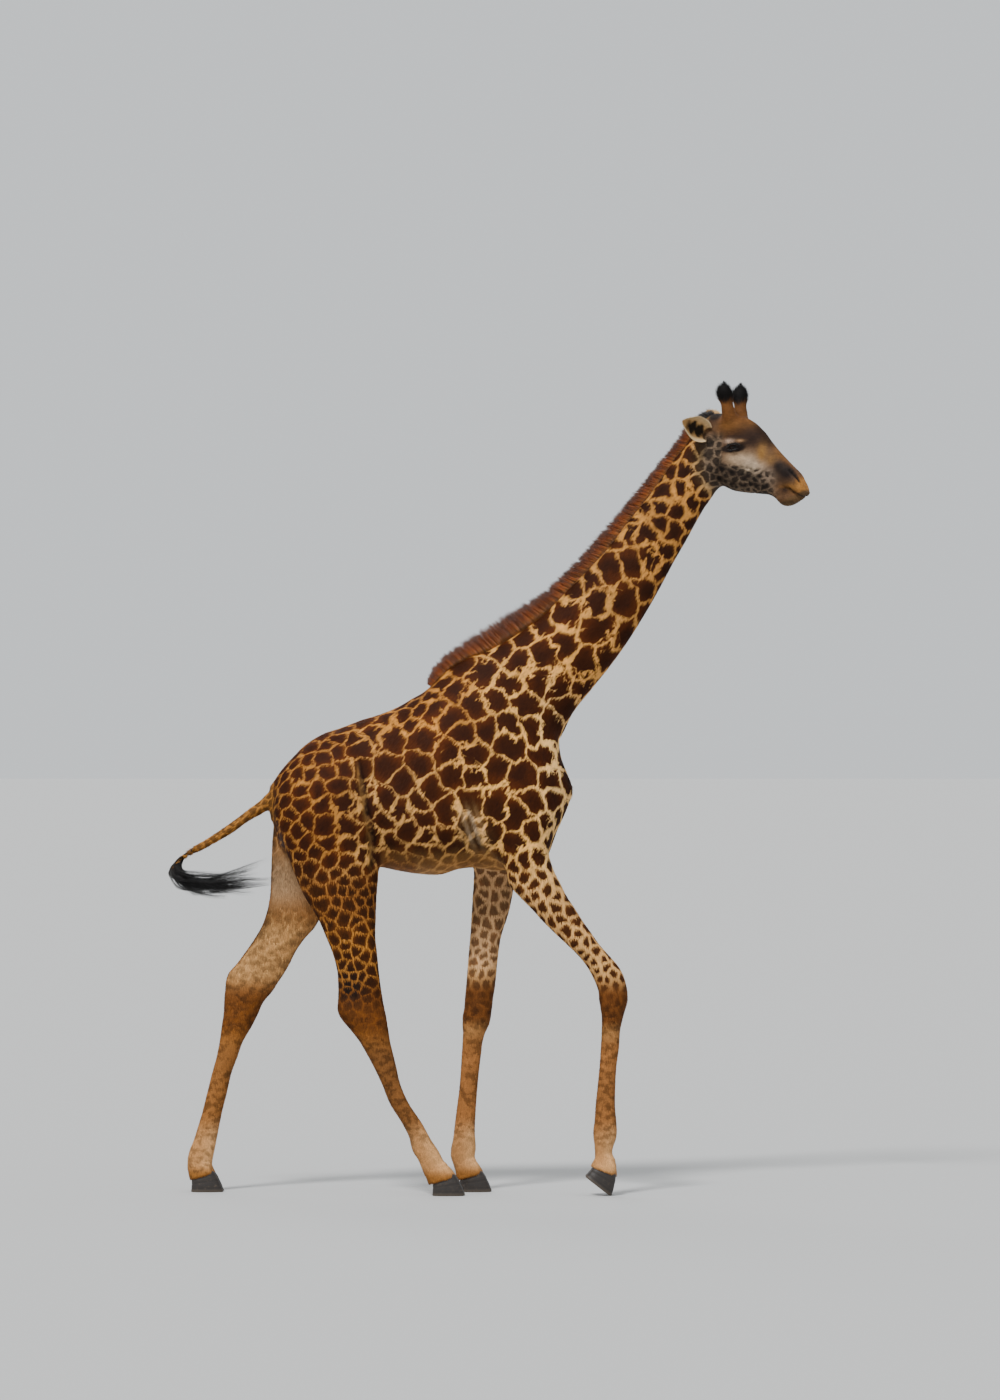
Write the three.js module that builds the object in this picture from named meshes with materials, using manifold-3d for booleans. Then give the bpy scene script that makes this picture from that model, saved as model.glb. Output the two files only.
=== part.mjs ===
// A walking female giraffe at life size, as a still model that stands on its four feet.
// Millimetres, +Z up. The head points along +X and turns a little towards the animal's right, -Y.
// Every soft part is a loft: a row of stations along a path, each with a reach in front of the path,
// behind it and to its sides. The lofts are joined into one body, and thin cuts part it into its nodes.
import * as THREE from "three";
import { mergeVertices } from "three/addons/utils/BufferGeometryUtils.js";
import Module from "manifold-3d";

const wasm = await Module();
wasm.setup();

// ---- driving dimensions -------------------------------------------------------------------------
const MIDDLE = { x: -67.3, y: 0 }; // the outline's middle, from the point that stations count from
const CUT = 0.8; // width of the cuts that part the body
const GAP = 0.5; // gap between a piece and the one that it sits on
const HEAD_YAW = THREE.MathUtils.degToRad(28); // how far the head is turned to the animal's right
const POLL = new THREE.Vector3(1040, 0, 3745); // where the head turns on the neck
const HOOF_HEIGHT = 84; // from the sole to the coronet
const HOOF_SPREAD = 33; // from the foot's middle to the middle of each toe
const CORONET_TILT = THREE.MathUtils.degToRad(16); // the coronet is higher in front than at the heel
const EYE = { ahead: 205, out: 90, up: 14, radius: 23 };
const COATS = { flesh: 0xa8713c, hoof: 0x2a221c, eye: 0x120c08, mane: 0x8a4a1e, tuft: 0x0d0b0b };

// ---- lofts --------------------------------------------------------------------------------------
// A station is [x, z, y, fore, back, side]: its place on the path, then its reach along the path's
// front normal, against it, and to each side.
const PLACE = (s) => new THREE.Vector3(s[0], s[2], s[1]);
const REACH = (s) => new THREE.Vector3(s[3], s[4], s[5]);

const AHEAD = new THREE.Vector3(1, 0, 0);
const LEFT = new THREE.Vector3(0, 1, 0);
const UP = new THREE.Vector3(0, 0, 1);

// Points of a ring: an oval whose front half and back half have their own reach.
function ring(centre, front, side, reach, sides, power) {
  const points = [];
  for (let i = 0; i < sides; i++) {
    const angle = (2 * Math.PI * i) / sides;
    const across = Math.sign(Math.cos(angle)) * Math.abs(Math.cos(angle)) ** (2 / power);
    const along = Math.sign(Math.sin(angle)) * Math.abs(Math.sin(angle)) ** (2 / power);
    points.push(
      centre.clone()
        .addScaledVector(side, across * reach.z)
        .addScaledVector(front, along * (along > 0 ? reach.x : reach.y)),
    );
  }
  return points;
}

// A closed mesh through rings of equal size, with a flat fan at each end.
function skinOf(rings) {
  const sides = rings[0].length;
  const points = rings.flat();
  const middle = (list) => list.reduce((sum, p) => sum.add(p), new THREE.Vector3()).divideScalar(sides);
  const first = points.push(middle(rings[0])) - 1;
  const last = points.push(middle(rings.at(-1))) - 1;
  const index = [];
  for (let r = 0; r < rings.length - 1; r++)
    for (let i = 0; i < sides; i++) {
      const a = r * sides + i;
      const b = r * sides + ((i + 1) % sides);
      index.push(a, b, a + sides, b, b + sides, a + sides);
    }
  const end = (rings.length - 1) * sides;
  for (let i = 0; i < sides; i++) {
    const next = (i + 1) % sides;
    index.push(first, next, i);
    index.push(last, end + i, end + next);
  }
  return solid(points, index);
}

// A manifold solid from points and triangles, turned to face out.
function solid(points, index) {
  const vertProperties = new Float32Array(points.flatMap((p) => [p.x, p.y, p.z]));
  const made = new wasm.Manifold(
    new wasm.Mesh({ numProp: 3, vertProperties, triVerts: new Uint32Array(index) }),
  );
  if (made.volume() > 0) return made;
  const turned = [];
  for (let i = 0; i < index.length; i += 3) turned.push(index[i], index[i + 2], index[i + 1]);
  return new wasm.Manifold(
    new wasm.Mesh({ numProp: 3, vertProperties, triVerts: new Uint32Array(turned) }),
  );
}

// Carries an oval along the smooth path through the stations, with `steps` rings for each stretch.
// `upright` keeps every ring in a plane across X, however the path slopes.
function loft(stations, { steps = 2, sides = 12, power = 2, upright = false } = {}) {
  const path = new THREE.CatmullRomCurve3(stations.map(PLACE), false, "catmullrom", 0.5);
  const reach = new THREE.CatmullRomCurve3(stations.map(REACH), false, "catmullrom", 0.5);
  const count = (stations.length - 1) * steps;
  const rings = [];
  for (let i = 0; i <= count; i++) {
    const t = i / count;
    const heading = upright ? AHEAD : path.getTangent(t);
    const side = LEFT.clone().addScaledVector(heading, -LEFT.dot(heading)).normalize();
    const front = heading.clone().cross(side);
    rings.push(ring(path.getPoint(t), front, side, reach.getPoint(t), sides, power));
  }
  return skinOf(rings);
}

// A three.js geometry, placed by a matrix, as a solid.
function solidFrom(geometry, matrix = new THREE.Matrix4()) {
  const bare = geometry.clone().applyMatrix4(matrix);
  bare.deleteAttribute("normal");
  bare.deleteAttribute("uv");
  const merged = mergeVertices(bare, 1e-3);
  const at = merged.attributes.position;
  const points = [];
  for (let i = 0; i < at.count; i++) points.push(new THREE.Vector3().fromBufferAttribute(at, i));
  return solid(points, Array.from(merged.index.array));
}

// A ball of three radii, turned by `tilt` about Y.
function ball(x, y, z, rx, ry, rz, tilt = 0, detail = 8) {
  const matrix = new THREE.Matrix4().makeTranslation(x, y, z)
    .multiply(new THREE.Matrix4().makeRotationY(tilt))
    .multiply(new THREE.Matrix4().makeScale(rx, ry, rz));
  return solidFrom(new THREE.SphereGeometry(1, detail, Math.round(detail * 0.7)), matrix);
}

// A box with its thin side along `normal`: the saw cut that parts two nodes.
function sawCut(x, y, z, normal, size, thickness = CUT) {
  const turn = new THREE.Quaternion().setFromUnitVectors(UP, normal.clone().normalize());
  const matrix = new THREE.Matrix4().compose(
    new THREE.Vector3(x, y, z),
    turn,
    new THREE.Vector3(size[0], size[1], thickness),
  );
  return solidFrom(new THREE.BoxGeometry(1, 1, 1), matrix);
}

const join = (list) => list.reduce((all, one) => all.add(one));
const inHead = new THREE.Matrix4().makeTranslation(POLL.x, POLL.y, POLL.z)
  .multiply(new THREE.Matrix4().makeRotationZ(-HEAD_YAW));
const placed = (made, matrix) => made.transform(matrix.toArray());

// ---- trunk: rump, loin, barrel, chest and brisket -------------------------------------------------
const TRUNK = [
  [-1140, 1930, 0, 110, 110, 60],
  [-1100, 1935, 0, 200, 190, 125],
  [-1010, 1960, 0, 275, 262, 188],
  [-870, 1975, 0, 342, 300, 226],
  [-700, 1975, 0, 420, 318, 255],
  [-520, 1970, 0, 480, 345, 292],
  [-350, 1970, 0, 565, 368, 308],
  [-200, 1980, 0, 635, 362, 290],
  [-50, 2000, 0, 625, 370, 262],
  [90, 2005, 0, 570, 360, 236],
  [215, 2005, 0, 440, 318, 198],
  [282, 2005, 0, 310, 195, 158],
  [325, 2005, 0, 190, 115, 112],
  [352, 2010, 0, 95, 60, 70],
  [364, 2014, 0, 26, 22, 26],
];
const trunk = loft(TRUNK, { sides: 18, power: 2.05, upright: true });

// ---- neck, from inside the chest to behind the ears ------------------------------------------------
const NECK = [
  [-20, 2330, 0, 330, 340, 175],
  [85, 2500, 0, 275, 330, 150],
  [190, 2625, 0, 262, 285, 126],
  [305, 2718, 0, 232, 248, 112],
  [430, 2825, 0, 207, 216, 102],
  [556, 2978, 0, 182, 188, 93],
  [682, 3160, 0, 160, 166, 87],
  [818, 3370, 0, 145, 146, 82],
  [925, 3535, 0, 132, 130, 80],
  [1015, 3670, 0, 118, 125, 80],
];
const neck = loft(NECK, { sides: 14 });

// ---- head: measured from the poll, forward along its own axis ---------------------------------------
const FACE = [
  [-60, 5, 0, 90, 100, 62],
  [-20, 10, 0, 135, 150, 78],
  [40, 15, 0, 165, 185, 88],
  [100, 12, 0, 170, 190, 94],
  [160, 5, 0, 172, 208, 99],
  [215, -5, 0, 166, 208, 97],
  [258, -20, 0, 157, 198, 86],
  [302, -42, 0, 154, 176, 74],
  [330, -58, 0, 148, 163, 68],
  [358, -75, 0, 130, 147, 64],
  [402, -100, 0, 104, 118, 60],
  [452, -130, 0, 83, 74, 60],
  [497, -160, 0, 67, 62, 62],
  [535, -190, 0, 51, 55, 57],
  [557, -210, 0, 31, 34, 44],
  [571, -219, 0, 9, 10, 18],
];
const JAW = [
  [290, -165, 0, 30, 52, 44],
  [350, -190, 0, 30, 35, 43],
  [391, -205, 0, 30, 41, 42],
  [430, -228, 0, 28, 53, 44],
  [458, -238, 0, 34, 49, 44],
  [486, -244, 0, 36, 39, 41],
  [513, -250, 0, 20, 19, 31],
  [530, -252, 0, 6, 6, 12],
];
const brows = [-1, 1].map((s) => ball(208, 72 * s, 32, 60, 38, 42, 0.5));
const cheeks = [-1, 1].map((s) => ball(120, 58 * s, -95, 86, 34, 88, 0.2));
const nostrilFlares = [-1, 1].map((s) => ball(508, 38 * s, -158, 46, 26, 30, 0.7));
const forehead = ball(238, 0, 82, 72, 54, 60, 0.5);
const face = placed(
  join([
    loft(FACE, { steps: 1, sides: 16, upright: true }),
    loft(JAW, { steps: 1, sides: 12, upright: true }),
    ...brows,
    ...cheeks,
    ...nostrilFlares,
    forehead,
  ]),
  inHead,
);

// Ossicones: skin-covered horns that diverge, with a knob of dark hair at the top.
const OSSICONE = [
  [166, 150, 58, 48, 46, 44],
  [161, 190, 69, 36, 36, 35],
  [156, 228, 77, 31, 31, 31],
  [151, 258, 84, 35, 36, 34],
  [147, 288, 90, 39, 40, 37],
  [147, 315, 95, 28, 28, 27],
  [150, 338, 99, 8, 8, 8],
];
const mirrored = (stations, s) => stations.map(([x, z, y, ...reach]) => [x, z, y * s, ...reach]);
const ossicones = [-1, 1].map((s) => placed(loft(mirrored(OSSICONE, s), { steps: 1, sides: 12 }), inHead));

// Ear: a leaf rolled into a cup. `u` runs from the base to the tip, `v` from one edge to the other.
const EAR = { length: 182, width: 66, wall: 5, bow: 18 }; // width and wall are half the full size
const EARS = {
  right: { base: [30, -75, 87], heading: [-116, -128, 56], opening: [0.3, -0.9, -0.05] },
  left: { base: [36, 74, 88], heading: [-62, 122, 132], opening: [0.85, 0.35, -0.1] },
};
function earFrame({ base, heading, opening }) {
  const out = new THREE.Vector3(...heading).normalize();
  const open = new THREE.Vector3(...opening);
  const hollow = open.addScaledVector(out, -open.dot(out)).normalize();
  return { root: new THREE.Vector3(...base).applyMatrix4(inHead), out, hollow };
}
function earSpine(which, u) {
  const { root, out, hollow } = earFrame(which);
  return root.addScaledVector(out, EAR.length * u).addScaledVector(hollow, -EAR.bow * Math.sin(Math.PI * u));
}
function ear(which, alongSteps = 8, acrossSteps = 6) {
  const { out, hollow } = earFrame(which);
  const across = out.clone().cross(hollow);
  const rows = [];
  for (let i = 0; i <= alongSteps; i++) {
    const u = i / alongSteps;
    const half = EAR.width * Math.sin(Math.PI * (0.12 + 0.85 * u ** 0.8)) ** 0.75;
    const roll = 1.75 - 0.75 * u; // how far the edges curl round, in radians each way
    const radius = half / Math.max(0.9, roll * 0.72);
    const inner = [];
    const outer = [];
    for (let j = 0; j <= acrossSteps; j++) {
      const v = (2 * j) / acrossSteps - 1;
      const angle = v * roll;
      const place = earSpine(which, u)
        .addScaledVector(across, radius * Math.sin(angle))
        .addScaledVector(hollow, radius * (1 - Math.cos(angle)));
      const normal = hollow.clone().multiplyScalar(Math.cos(angle))
        .addScaledVector(across, -Math.sin(angle));
      const wall = EAR.wall * (1 - 0.35 * Math.abs(v));
      inner.push(place.clone().addScaledVector(normal, wall));
      outer.unshift(place.clone().addScaledVector(normal, -wall));
    }
    rows.push([...inner, ...outer]);
  }
  return skinOf(rows);
}

// ---- legs: from the mass of shoulder or thigh down to the coronet -----------------------------------
const FORE_RIGHT = [
  [20, 2060, -120, 215, 205, 105],
  [60, 1880, -138, 190, 190, 96],
  [105, 1740, -150, 165, 172, 84],
  [188, 1575, -160, 112, 116, 68],
  [296, 1395, -160, 78, 80, 58],
  [388, 1272, -158, 70, 70, 54],
  [482, 1158, -155, 66, 68, 57],
  [555, 1060, -152, 68, 66, 60],
  [577, 985, -149, 67, 60, 60],
  [562, 893, -145, 52, 52, 47],
  [550, 735, -140, 46, 46, 38],
  [540, 584, -136, 42, 44, 36],
  [531, 458, -133, 48, 50, 40],
  [530, 335, -130, 62, 62, 50],
  [520, 235, -129, 44, 46, 46],
  [508, 150, -128, 52, 54, 56],
  [498, 90, -128, 54, 58, 60],
];
const FORE_LEFT = [
  [-40, 2060, 120, 215, 205, 105],
  [-25, 1880, 138, 180, 185, 96],
  [-20, 1740, 150, 150, 150, 84],
  [-34, 1560, 158, 108, 104, 68],
  [-48, 1400, 158, 94, 92, 60],
  [-70, 1270, 156, 80, 80, 56],
  [-90, 1120, 153, 70, 72, 56],
  [-105, 975, 150, 69, 69, 61],
  [-118, 862, 147, 66, 66, 58],
  [-140, 768, 145, 52, 52, 47],
  [-148, 640, 141, 47, 47, 38],
  [-162, 462, 138, 48, 50, 37],
  [-178, 310, 136, 53, 54, 41],
  [-183, 192, 135, 58, 60, 50],
  [-165, 125, 135, 46, 48, 50],
  [-150, HOOF_HEIGHT - 25, 135, 56, 58, 62],
];
const HIND_RIGHT = [
  [-868, 2080, -100, 180, 190, 124],
  [-884, 1960, -122, 232, 248, 124],
  [-862, 1788, -138, 250, 240, 116],
  [-818, 1588, -150, 200, 202, 100],
  [-780, 1412, -152, 154, 154, 82],
  [-740, 1236, -150, 111, 112, 66],
  [-712, 1110, -146, 100, 104, 56],
  [-700, 985, -142, 104, 112, 56],
  [-684, 915, -140, 96, 116, 55],
  [-655, 852, -139, 86, 104, 54],
  [-622, 780, -138, 72, 78, 50],
  [-596, 708, -136, 64, 66, 46],
  [-537, 583, -134, 50, 52, 40],
  [-480, 458, -132, 43, 44, 37],
  [-420, 332, -131, 46, 47, 40],
  [-362, 212, -130, 58, 60, 50],
  [-328, 146, -130, 52, 54, 50],
  [-300, HOOF_HEIGHT + 8, -130, 52, 52, 54],
  [-284, HOOF_HEIGHT - 34, -130, 58, 58, 62],
];
const HIND_LEFT = [
  [-900, 2080, 100, 170, 170, 124],
  [-925, 1960, 122, 215, 212, 124],
  [-975, 1790, 140, 196, 190, 112],
  [-1020, 1600, 150, 168, 156, 98],
  [-1082, 1390, 152, 136, 132, 82],
  [-1168, 1215, 150, 116, 118, 68],
  [-1232, 1080, 146, 104, 112, 58],
  [-1290, 972, 142, 92, 100, 55],
  [-1326, 870, 140, 78, 80, 52],
  [-1360, 768, 138, 60, 62, 46],
  [-1390, 664, 136, 52, 53, 41],
  [-1415, 564, 134, 50, 51, 38],
  [-1452, 414, 132, 49, 50, 37],
  [-1490, 262, 131, 52, 55, 41],
  [-1514, 176, 130, 62, 66, 50],
  [-1516, 120, 130, 50, 54, 50],
  [-1508, HOOF_HEIGHT - 30, 130, 56, 58, 62],
];
const legSolids = [FORE_RIGHT, FORE_LEFT, HIND_RIGHT, HIND_LEFT].map((stations) =>
  loft(stations, { steps: 1, sides: 12 }));

// ---- feet: each a frame at the coronet's middle, with the sole HOOF_HEIGHT below it -------------------
// `pitch` lifts the heel: the right fore foot is still on its toe tips as the step ends.
const FEET = {
  fore_leg_right: { x: 522, y: -128, z: 129, pitch: THREE.MathUtils.degToRad(38) },
  fore_leg_left: { x: -152, y: 135, z: HOOF_HEIGHT, pitch: 0 },
  hind_leg_right: { x: -286, y: -130, z: HOOF_HEIGHT, pitch: 0 },
  hind_leg_left: { x: -1510, y: 130, z: HOOF_HEIGHT, pitch: 0 },
};
const footFrame = ({ x, y, z, pitch }) =>
  new THREE.Matrix4().makeTranslation(x, y, z).multiply(new THREE.Matrix4().makeRotationY(pitch));
const coronetFrame = (foot) => footFrame(foot).multiply(new THREE.Matrix4().makeRotationY(-CORONET_TILT));
// The space below the coronet, where there is hoof and no flesh, and the space above it.
const belowCoronet = (foot) =>
  solidFrom(new THREE.BoxGeometry(400, 260, 240),
    coronetFrame(foot).multiply(new THREE.Matrix4().makeTranslation(0, 0, -120)));
const aboveCoronet = (foot) =>
  solidFrom(new THREE.BoxGeometry(400, 260, 200),
    coronetFrame(foot).multiply(new THREE.Matrix4().makeTranslation(0, 0, 100 - GAP)));

// One toe: a blunt wedge, longer and wider at the sole.
const TOE = [
  [-4, 30, 0, 44, 44, 26],
  [4, 0, 0, 58, 54, 29],
  [10, -36, 0, 76, 62, 31],
  [15, -HOOF_HEIGHT + 8, 0, 94, 69, 31],
  [15, -HOOF_HEIGHT, 0, 91, 66, 29],
];
const FLOOR = solidFrom(
  new THREE.BoxGeometry(6000, 3000, 200),
  new THREE.Matrix4().makeTranslation(0, 0, -100),
);
function toe(foot, side) {
  const rings = TOE.map(([x, z, y, fore, back, half]) =>
    ring(new THREE.Vector3(x, y + side * HOOF_SPREAD, z), new THREE.Vector3(1, 0, 0),
      new THREE.Vector3(0, 1, 0), new THREE.Vector3(fore, back, half), 14, 2.3));
  return placed(skinOf(rings), footFrame(foot)).subtract(FLOOR).subtract(aboveCoronet(foot));
}

// ---- tail: the dock, then the switch of long hair that swings forward from its tip --------------------
const TAIL = [
  [-1085, 2030, 0, 46, 60, 40],
  [-1160, 1985, 0, 40, 46, 38],
  [-1215, 1945, 0, 32, 34, 30],
  [-1275, 1905, -4, 27, 28, 25],
  [-1340, 1856, -10, 24, 28, 22],
  [-1425, 1803, -18, 20, 28, 19],
  [-1500, 1758, -26, 17, 24, 17],
  [-1560, 1725, -32, 15, 18, 15],
  [-1612, 1690, -36, 14, 15, 14],
  [-1655, 1640, -38, 14, 15, 14],
];
const SWITCH = [
  [-1668, 1640, -38, 42, 22, 26],
  [-1650, 1600, -40, 50, 36, 34],
  [-1590, 1574, -44, 62, 52, 44],
  [-1500, 1566, -48, 66, 56, 50],
  [-1400, 1574, -50, 58, 50, 48],
  [-1300, 1598, -50, 46, 42, 40],
  [-1215, 1636, -48, 28, 26, 26],
  [-1165, 1672, -46, 8, 8, 8],
];
const tail = loft(TAIL, { steps: 1, sides: 10 });
const switchSolid = loft(SWITCH, { steps: 1, sides: 10 });

// ---- the body in one piece, then its cuts ------------------------------------------------------------
const eyeAt = (s) => new THREE.Vector3(EYE.ahead, EYE.out * s, EYE.up).applyMatrix4(inHead);
const eyeBall = (s, radius) => {
  const at = eyeAt(s);
  return ball(at.x, at.y, at.z, radius, radius, radius, 0, 10);
};
const flesh = join([
  trunk,
  neck,
  face,
  ...ossicones,
  ear(EARS.right),
  ear(EARS.left),
  ...legSolids,
  tail,
]);
const hollows = join([
  ...Object.values(FEET).map(belowCoronet),
  eyeBall(-1, EYE.radius + GAP),
  eyeBall(1, EYE.radius + GAP),
]);

const headDirection = (x, y, z) => new THREE.Vector3(x, y, z).transformDirection(inHead);
const headPoint = (x, y, z) => new THREE.Vector3(x, y, z).applyMatrix4(inHead);
function cutInHead(point, normal, size) {
  const at = headPoint(...point);
  return sawCut(at.x, at.y, at.z, headDirection(...normal), size);
}
const cuts = join([
  sawCut(40, 0, 2440, new THREE.Vector3(0.66, 0, 0.75), [820, 900]), // neck from trunk
  sawCut(985, 0, 3625, new THREE.Vector3(0.55, 0, 0.83), [330, 320]), // head from neck
  sawCut(-1190, 0, 1965, new THREE.Vector3(-0.8, 0, -0.5), [170, 170]), // tail from rump
  ...[-1, 1].map((s) => cutInHead([163, 76 * s, 208], [0, 0.28 * s, 0.96], [100, 100])), // ossicones
  ...Object.values(EARS).map((which) =>
    sawCut(...earSpine(which, 0.18).toArray(), earFrame(which).out, [170, 170])),
  sawCut(180, -160, 1590, new THREE.Vector3(0.5, 0, -0.86), [330, 230]), // right forearm
  sawCut(-34, 160, 1575, new THREE.Vector3(0.08, 0, -1), [300, 230]), // left forearm
  sawCut(-812, -150, 1560, new THREE.Vector3(0.2, 0, -1), [440, 260]), // right thigh
  sawCut(-1030, 150, 1570, new THREE.Vector3(-0.3, 0, -1), [360, 260]), // left thigh
  sawCut(568, -148, 935, new THREE.Vector3(0, 0, -1), [200, 180]), // right knee
  sawCut(-128, 146, 815, new THREE.Vector3(-0.15, 0, -1), [200, 180]), // left knee
  sawCut(-668, -140, 862, new THREE.Vector3(0.4, 0, -1), [280, 180]), // right hock
  sawCut(-1322, 140, 880, new THREE.Vector3(-0.3, 0, -1), [260, 180]), // left hock
]);
const pieces = flesh.subtract(hollows).subtract(cuts).decompose().filter((p) => p.volume() > 1000);

// Each node of flesh is the piece that lies round a point known to be inside it.
const INSIDE = {
  trunk: [-300, 0, 2100],
  neck: [556, 0, 2978],
  head: headPoint(120, 0, 0).toArray(),
  ossicone_right: headPoint(160, -86, 258).toArray(),
  ossicone_left: headPoint(160, 86, 258).toArray(),
  ear_right: earSpine(EARS.right, 0.5).toArray(),
  ear_left: earSpine(EARS.left, 0.5).toArray(),
  tail: [-1340, -10, 1856],
  fore_leg_right: [388, -158, 1272],
  fore_cannon_right: [550, -140, 735],
  fore_leg_left: [-70, 156, 1270],
  fore_cannon_left: [-148, 141, 640],
  hind_leg_right: [-740, -150, 1236],
  hind_cannon_right: [-537, -134, 583],
  hind_leg_left: [-1168, 150, 1215],
  hind_cannon_left: [-1415, 134, 564],
};
// The piece that holds most of a small ball at `point`.
function pieceRound(point) {
  const probe = ball(...point, 14, 14, 14);
  const share = (piece) => piece.intersect(probe).volume();
  return pieces.reduce((best, piece) => (share(piece) > share(best) ? piece : best));
}

// ---- mane: an upright brush of hair along the crest, from the withers to behind the ears ---------------
const MANE = [
  [-330, 2560, 0, 20, 60, 14],
  [-290, 2600, 0, 62, 60, 22],
  [-215, 2655, 0, 94, 60, 24],
  [-95, 2725, 0, 112, 60, 24],
  [70, 2810, 0, 132, 60, 24],
  [210, 2890, 0, 132, 60, 24],
  [330, 2990, 0, 112, 60, 23],
  [480, 3160, 0, 102, 60, 22],
  [640, 3375, 0, 82, 60, 21],
  [790, 3585, 0, 72, 60, 20],
  [900, 3740, 0, 66, 60, 18],
  [945, 3800, 0, 20, 50, 12],
];
const UP_CREST = [-GAP * 0.9, 0, GAP * 0.9];
const mane = loft(MANE, { steps: 1, sides: 8 })
  .subtract(flesh)
  .subtract(flesh.translate(UP_CREST))
  .decompose()
  .reduce((best, p) => (p.volume() > best.volume() ? p : best));

// ---- the named nodes ------------------------------------------------------------------------------------
const giraffe = new THREE.Group();
giraffe.position.set(-MIDDLE.x, -MIDDLE.y, 0);

function geometryOf(made) {
  const mesh = made.getMesh();
  const geometry = new THREE.BufferGeometry();
  geometry.setAttribute("position", new THREE.BufferAttribute(new Float32Array(mesh.vertProperties), 3));
  geometry.setIndex(new THREE.BufferAttribute(new Uint32Array(mesh.triVerts), 1));
  geometry.computeVertexNormals();
  return geometry;
}
function add(name, made, color, roughness) {
  const material = new THREE.MeshStandardMaterial({ color, roughness, metalness: 0 });
  const mesh = new THREE.Mesh(geometryOf(made), material);
  mesh.name = name;
  giraffe.add(mesh);
}

for (const [name, point] of Object.entries(INSIDE)) add(name, pieceRound(point), COATS.flesh, 0.85);
for (const [leg, foot] of Object.entries(FEET))
  for (const [word, side] of [["inner", 1], ["outer", -1]]) {
    const across = foot.y < 0 ? side : -side; // the inner toe faces the other leg
    add(`${leg.replace("leg", "hoof")}_${word}`, toe(foot, across), COATS.hoof, 0.6);
  }
add("eye_right", eyeBall(-1, EYE.radius), COATS.eye, 0.15);
add("eye_left", eyeBall(1, EYE.radius), COATS.eye, 0.15);
add("mane", mane, COATS.mane, 0.9);
add("tail_switch", switchSolid.subtract(flesh).subtract(flesh.translate([GAP, 0, -GAP])), COATS.tuft, 0.8);

export default giraffe;
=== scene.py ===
"""A walking Masai giraffe, life size: one skin over the whole body, a coat of short tufts that carries
the markings, an upright mane, hooves, eyes and a switch of long tail hair, on a plain studio floor."""

import bmesh
import bpy
import numpy as np
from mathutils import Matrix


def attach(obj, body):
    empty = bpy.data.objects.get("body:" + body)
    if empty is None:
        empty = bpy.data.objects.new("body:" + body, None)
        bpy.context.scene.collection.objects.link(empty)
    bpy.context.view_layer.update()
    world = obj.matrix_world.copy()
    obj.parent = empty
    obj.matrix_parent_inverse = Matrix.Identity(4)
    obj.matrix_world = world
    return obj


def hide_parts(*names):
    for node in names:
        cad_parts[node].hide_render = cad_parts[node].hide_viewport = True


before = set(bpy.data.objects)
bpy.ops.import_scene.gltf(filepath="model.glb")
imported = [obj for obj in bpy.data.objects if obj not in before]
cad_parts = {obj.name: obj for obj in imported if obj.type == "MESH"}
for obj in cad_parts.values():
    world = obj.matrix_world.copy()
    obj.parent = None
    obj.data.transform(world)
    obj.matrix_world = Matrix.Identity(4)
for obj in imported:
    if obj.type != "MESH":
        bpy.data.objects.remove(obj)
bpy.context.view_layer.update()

# ---------------------------------------------------------------------------------------------------
# The skin. Real thing: one hide over muscle and bone, from the lips to the tail and the coronets, with no
# seam. It is made as tubes with a soft blend between them, with bones, folds and hollows on top, and lies
# inside the solids by the coat's depth.
# ---------------------------------------------------------------------------------------------------
# Stations are millimetres from the point between the forelegs' tops, and MIDDLE brings them into the frame,
# whose origin is the outline's middle on the floor.
MIDDLE = np.array([0.0673, 0, 0])
COAT_DEPTH = 0.006
HEAD_YAW = np.radians(28)
POLL = np.array([1.040, 0, 3.745]) + MIDDLE
HEAD_AXES = np.array([
    [np.cos(HEAD_YAW), -np.sin(HEAD_YAW), 0],
    [np.sin(HEAD_YAW), np.cos(HEAD_YAW), 0],
    [0, 0, 1.0],
])  # rows: ahead, left, up

# Each row: place along the tube, low edge, high edge, half width, middle of the width, widest place.
TRUNK = """
-1150 1880 2070 50 0 1980; -1110 1760 2130 122 0 1960; -1050 1705 2200 172 0 1965; -1000 1690 2248 196 0 1970
-900 1668 2315 224 0 1975; -800 1655 2350 240 0 1975; -700 1650 2388 256 0 1960; -600 1642 2420 278 0 1945
-500 1622 2463 296 0 1930; -400 1608 2524 306 0 1925; -300 1606 2590 305 0 1930; -200 1634 2640 292 0 1955
-100 1640 2665 272 0 1985; 0 1628 2645 254 0 2000; 100 1640 2560 234 0 2005; 190 1665 2450 208 0 2010
240 1702 2380 184 0 2012; 285 1815 2285 150 0 2016; 312 1872 2190 128 0 2022; 338 1936 2125 96 0 2030
356 1985 2085 60 0 2034"""
NECK = """
-150 -300 240 165 0 0; 0 -345 292 162 0 20; 100 -328 305 152 0 40; 250 -254 279 140 0 60; 400 -195 280 127 0 70
550 -155 282 116 0 75; 700 -137 276 108 0 80; 850 -119 261 101 0 78; 1000 -106 240 95 0 74
1150 -108 214 89 0 64; 1300 -105 192 85 0 50; 1450 -109 166 83 0 36; 1600 -116 152 84 0 20
1700 -108 118 78 0 10"""
FACE = """
-60 -95 95 62 0 5; -20 -140 145 78 0 10; 40 -170 180 88 0 15; 100 -178 182 94 0 12; 160 -203 177 99 0 5
215 -213 161 97 0 -5; 258 -218 137 86 0 -20; 302 -218 112 74 0 -42; 330 -221 90 68 0 -58; 358 -222 55 64 0 -75
402 -218 4 60 0 -100; 452 -204 -47 60 0 -130; 497 -222 -93 62 0 -160; 535 -245 -139 57 0 -190
557 -244 -179 44 0 -210; 571 -229 -210 18 0 -219"""
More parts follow.
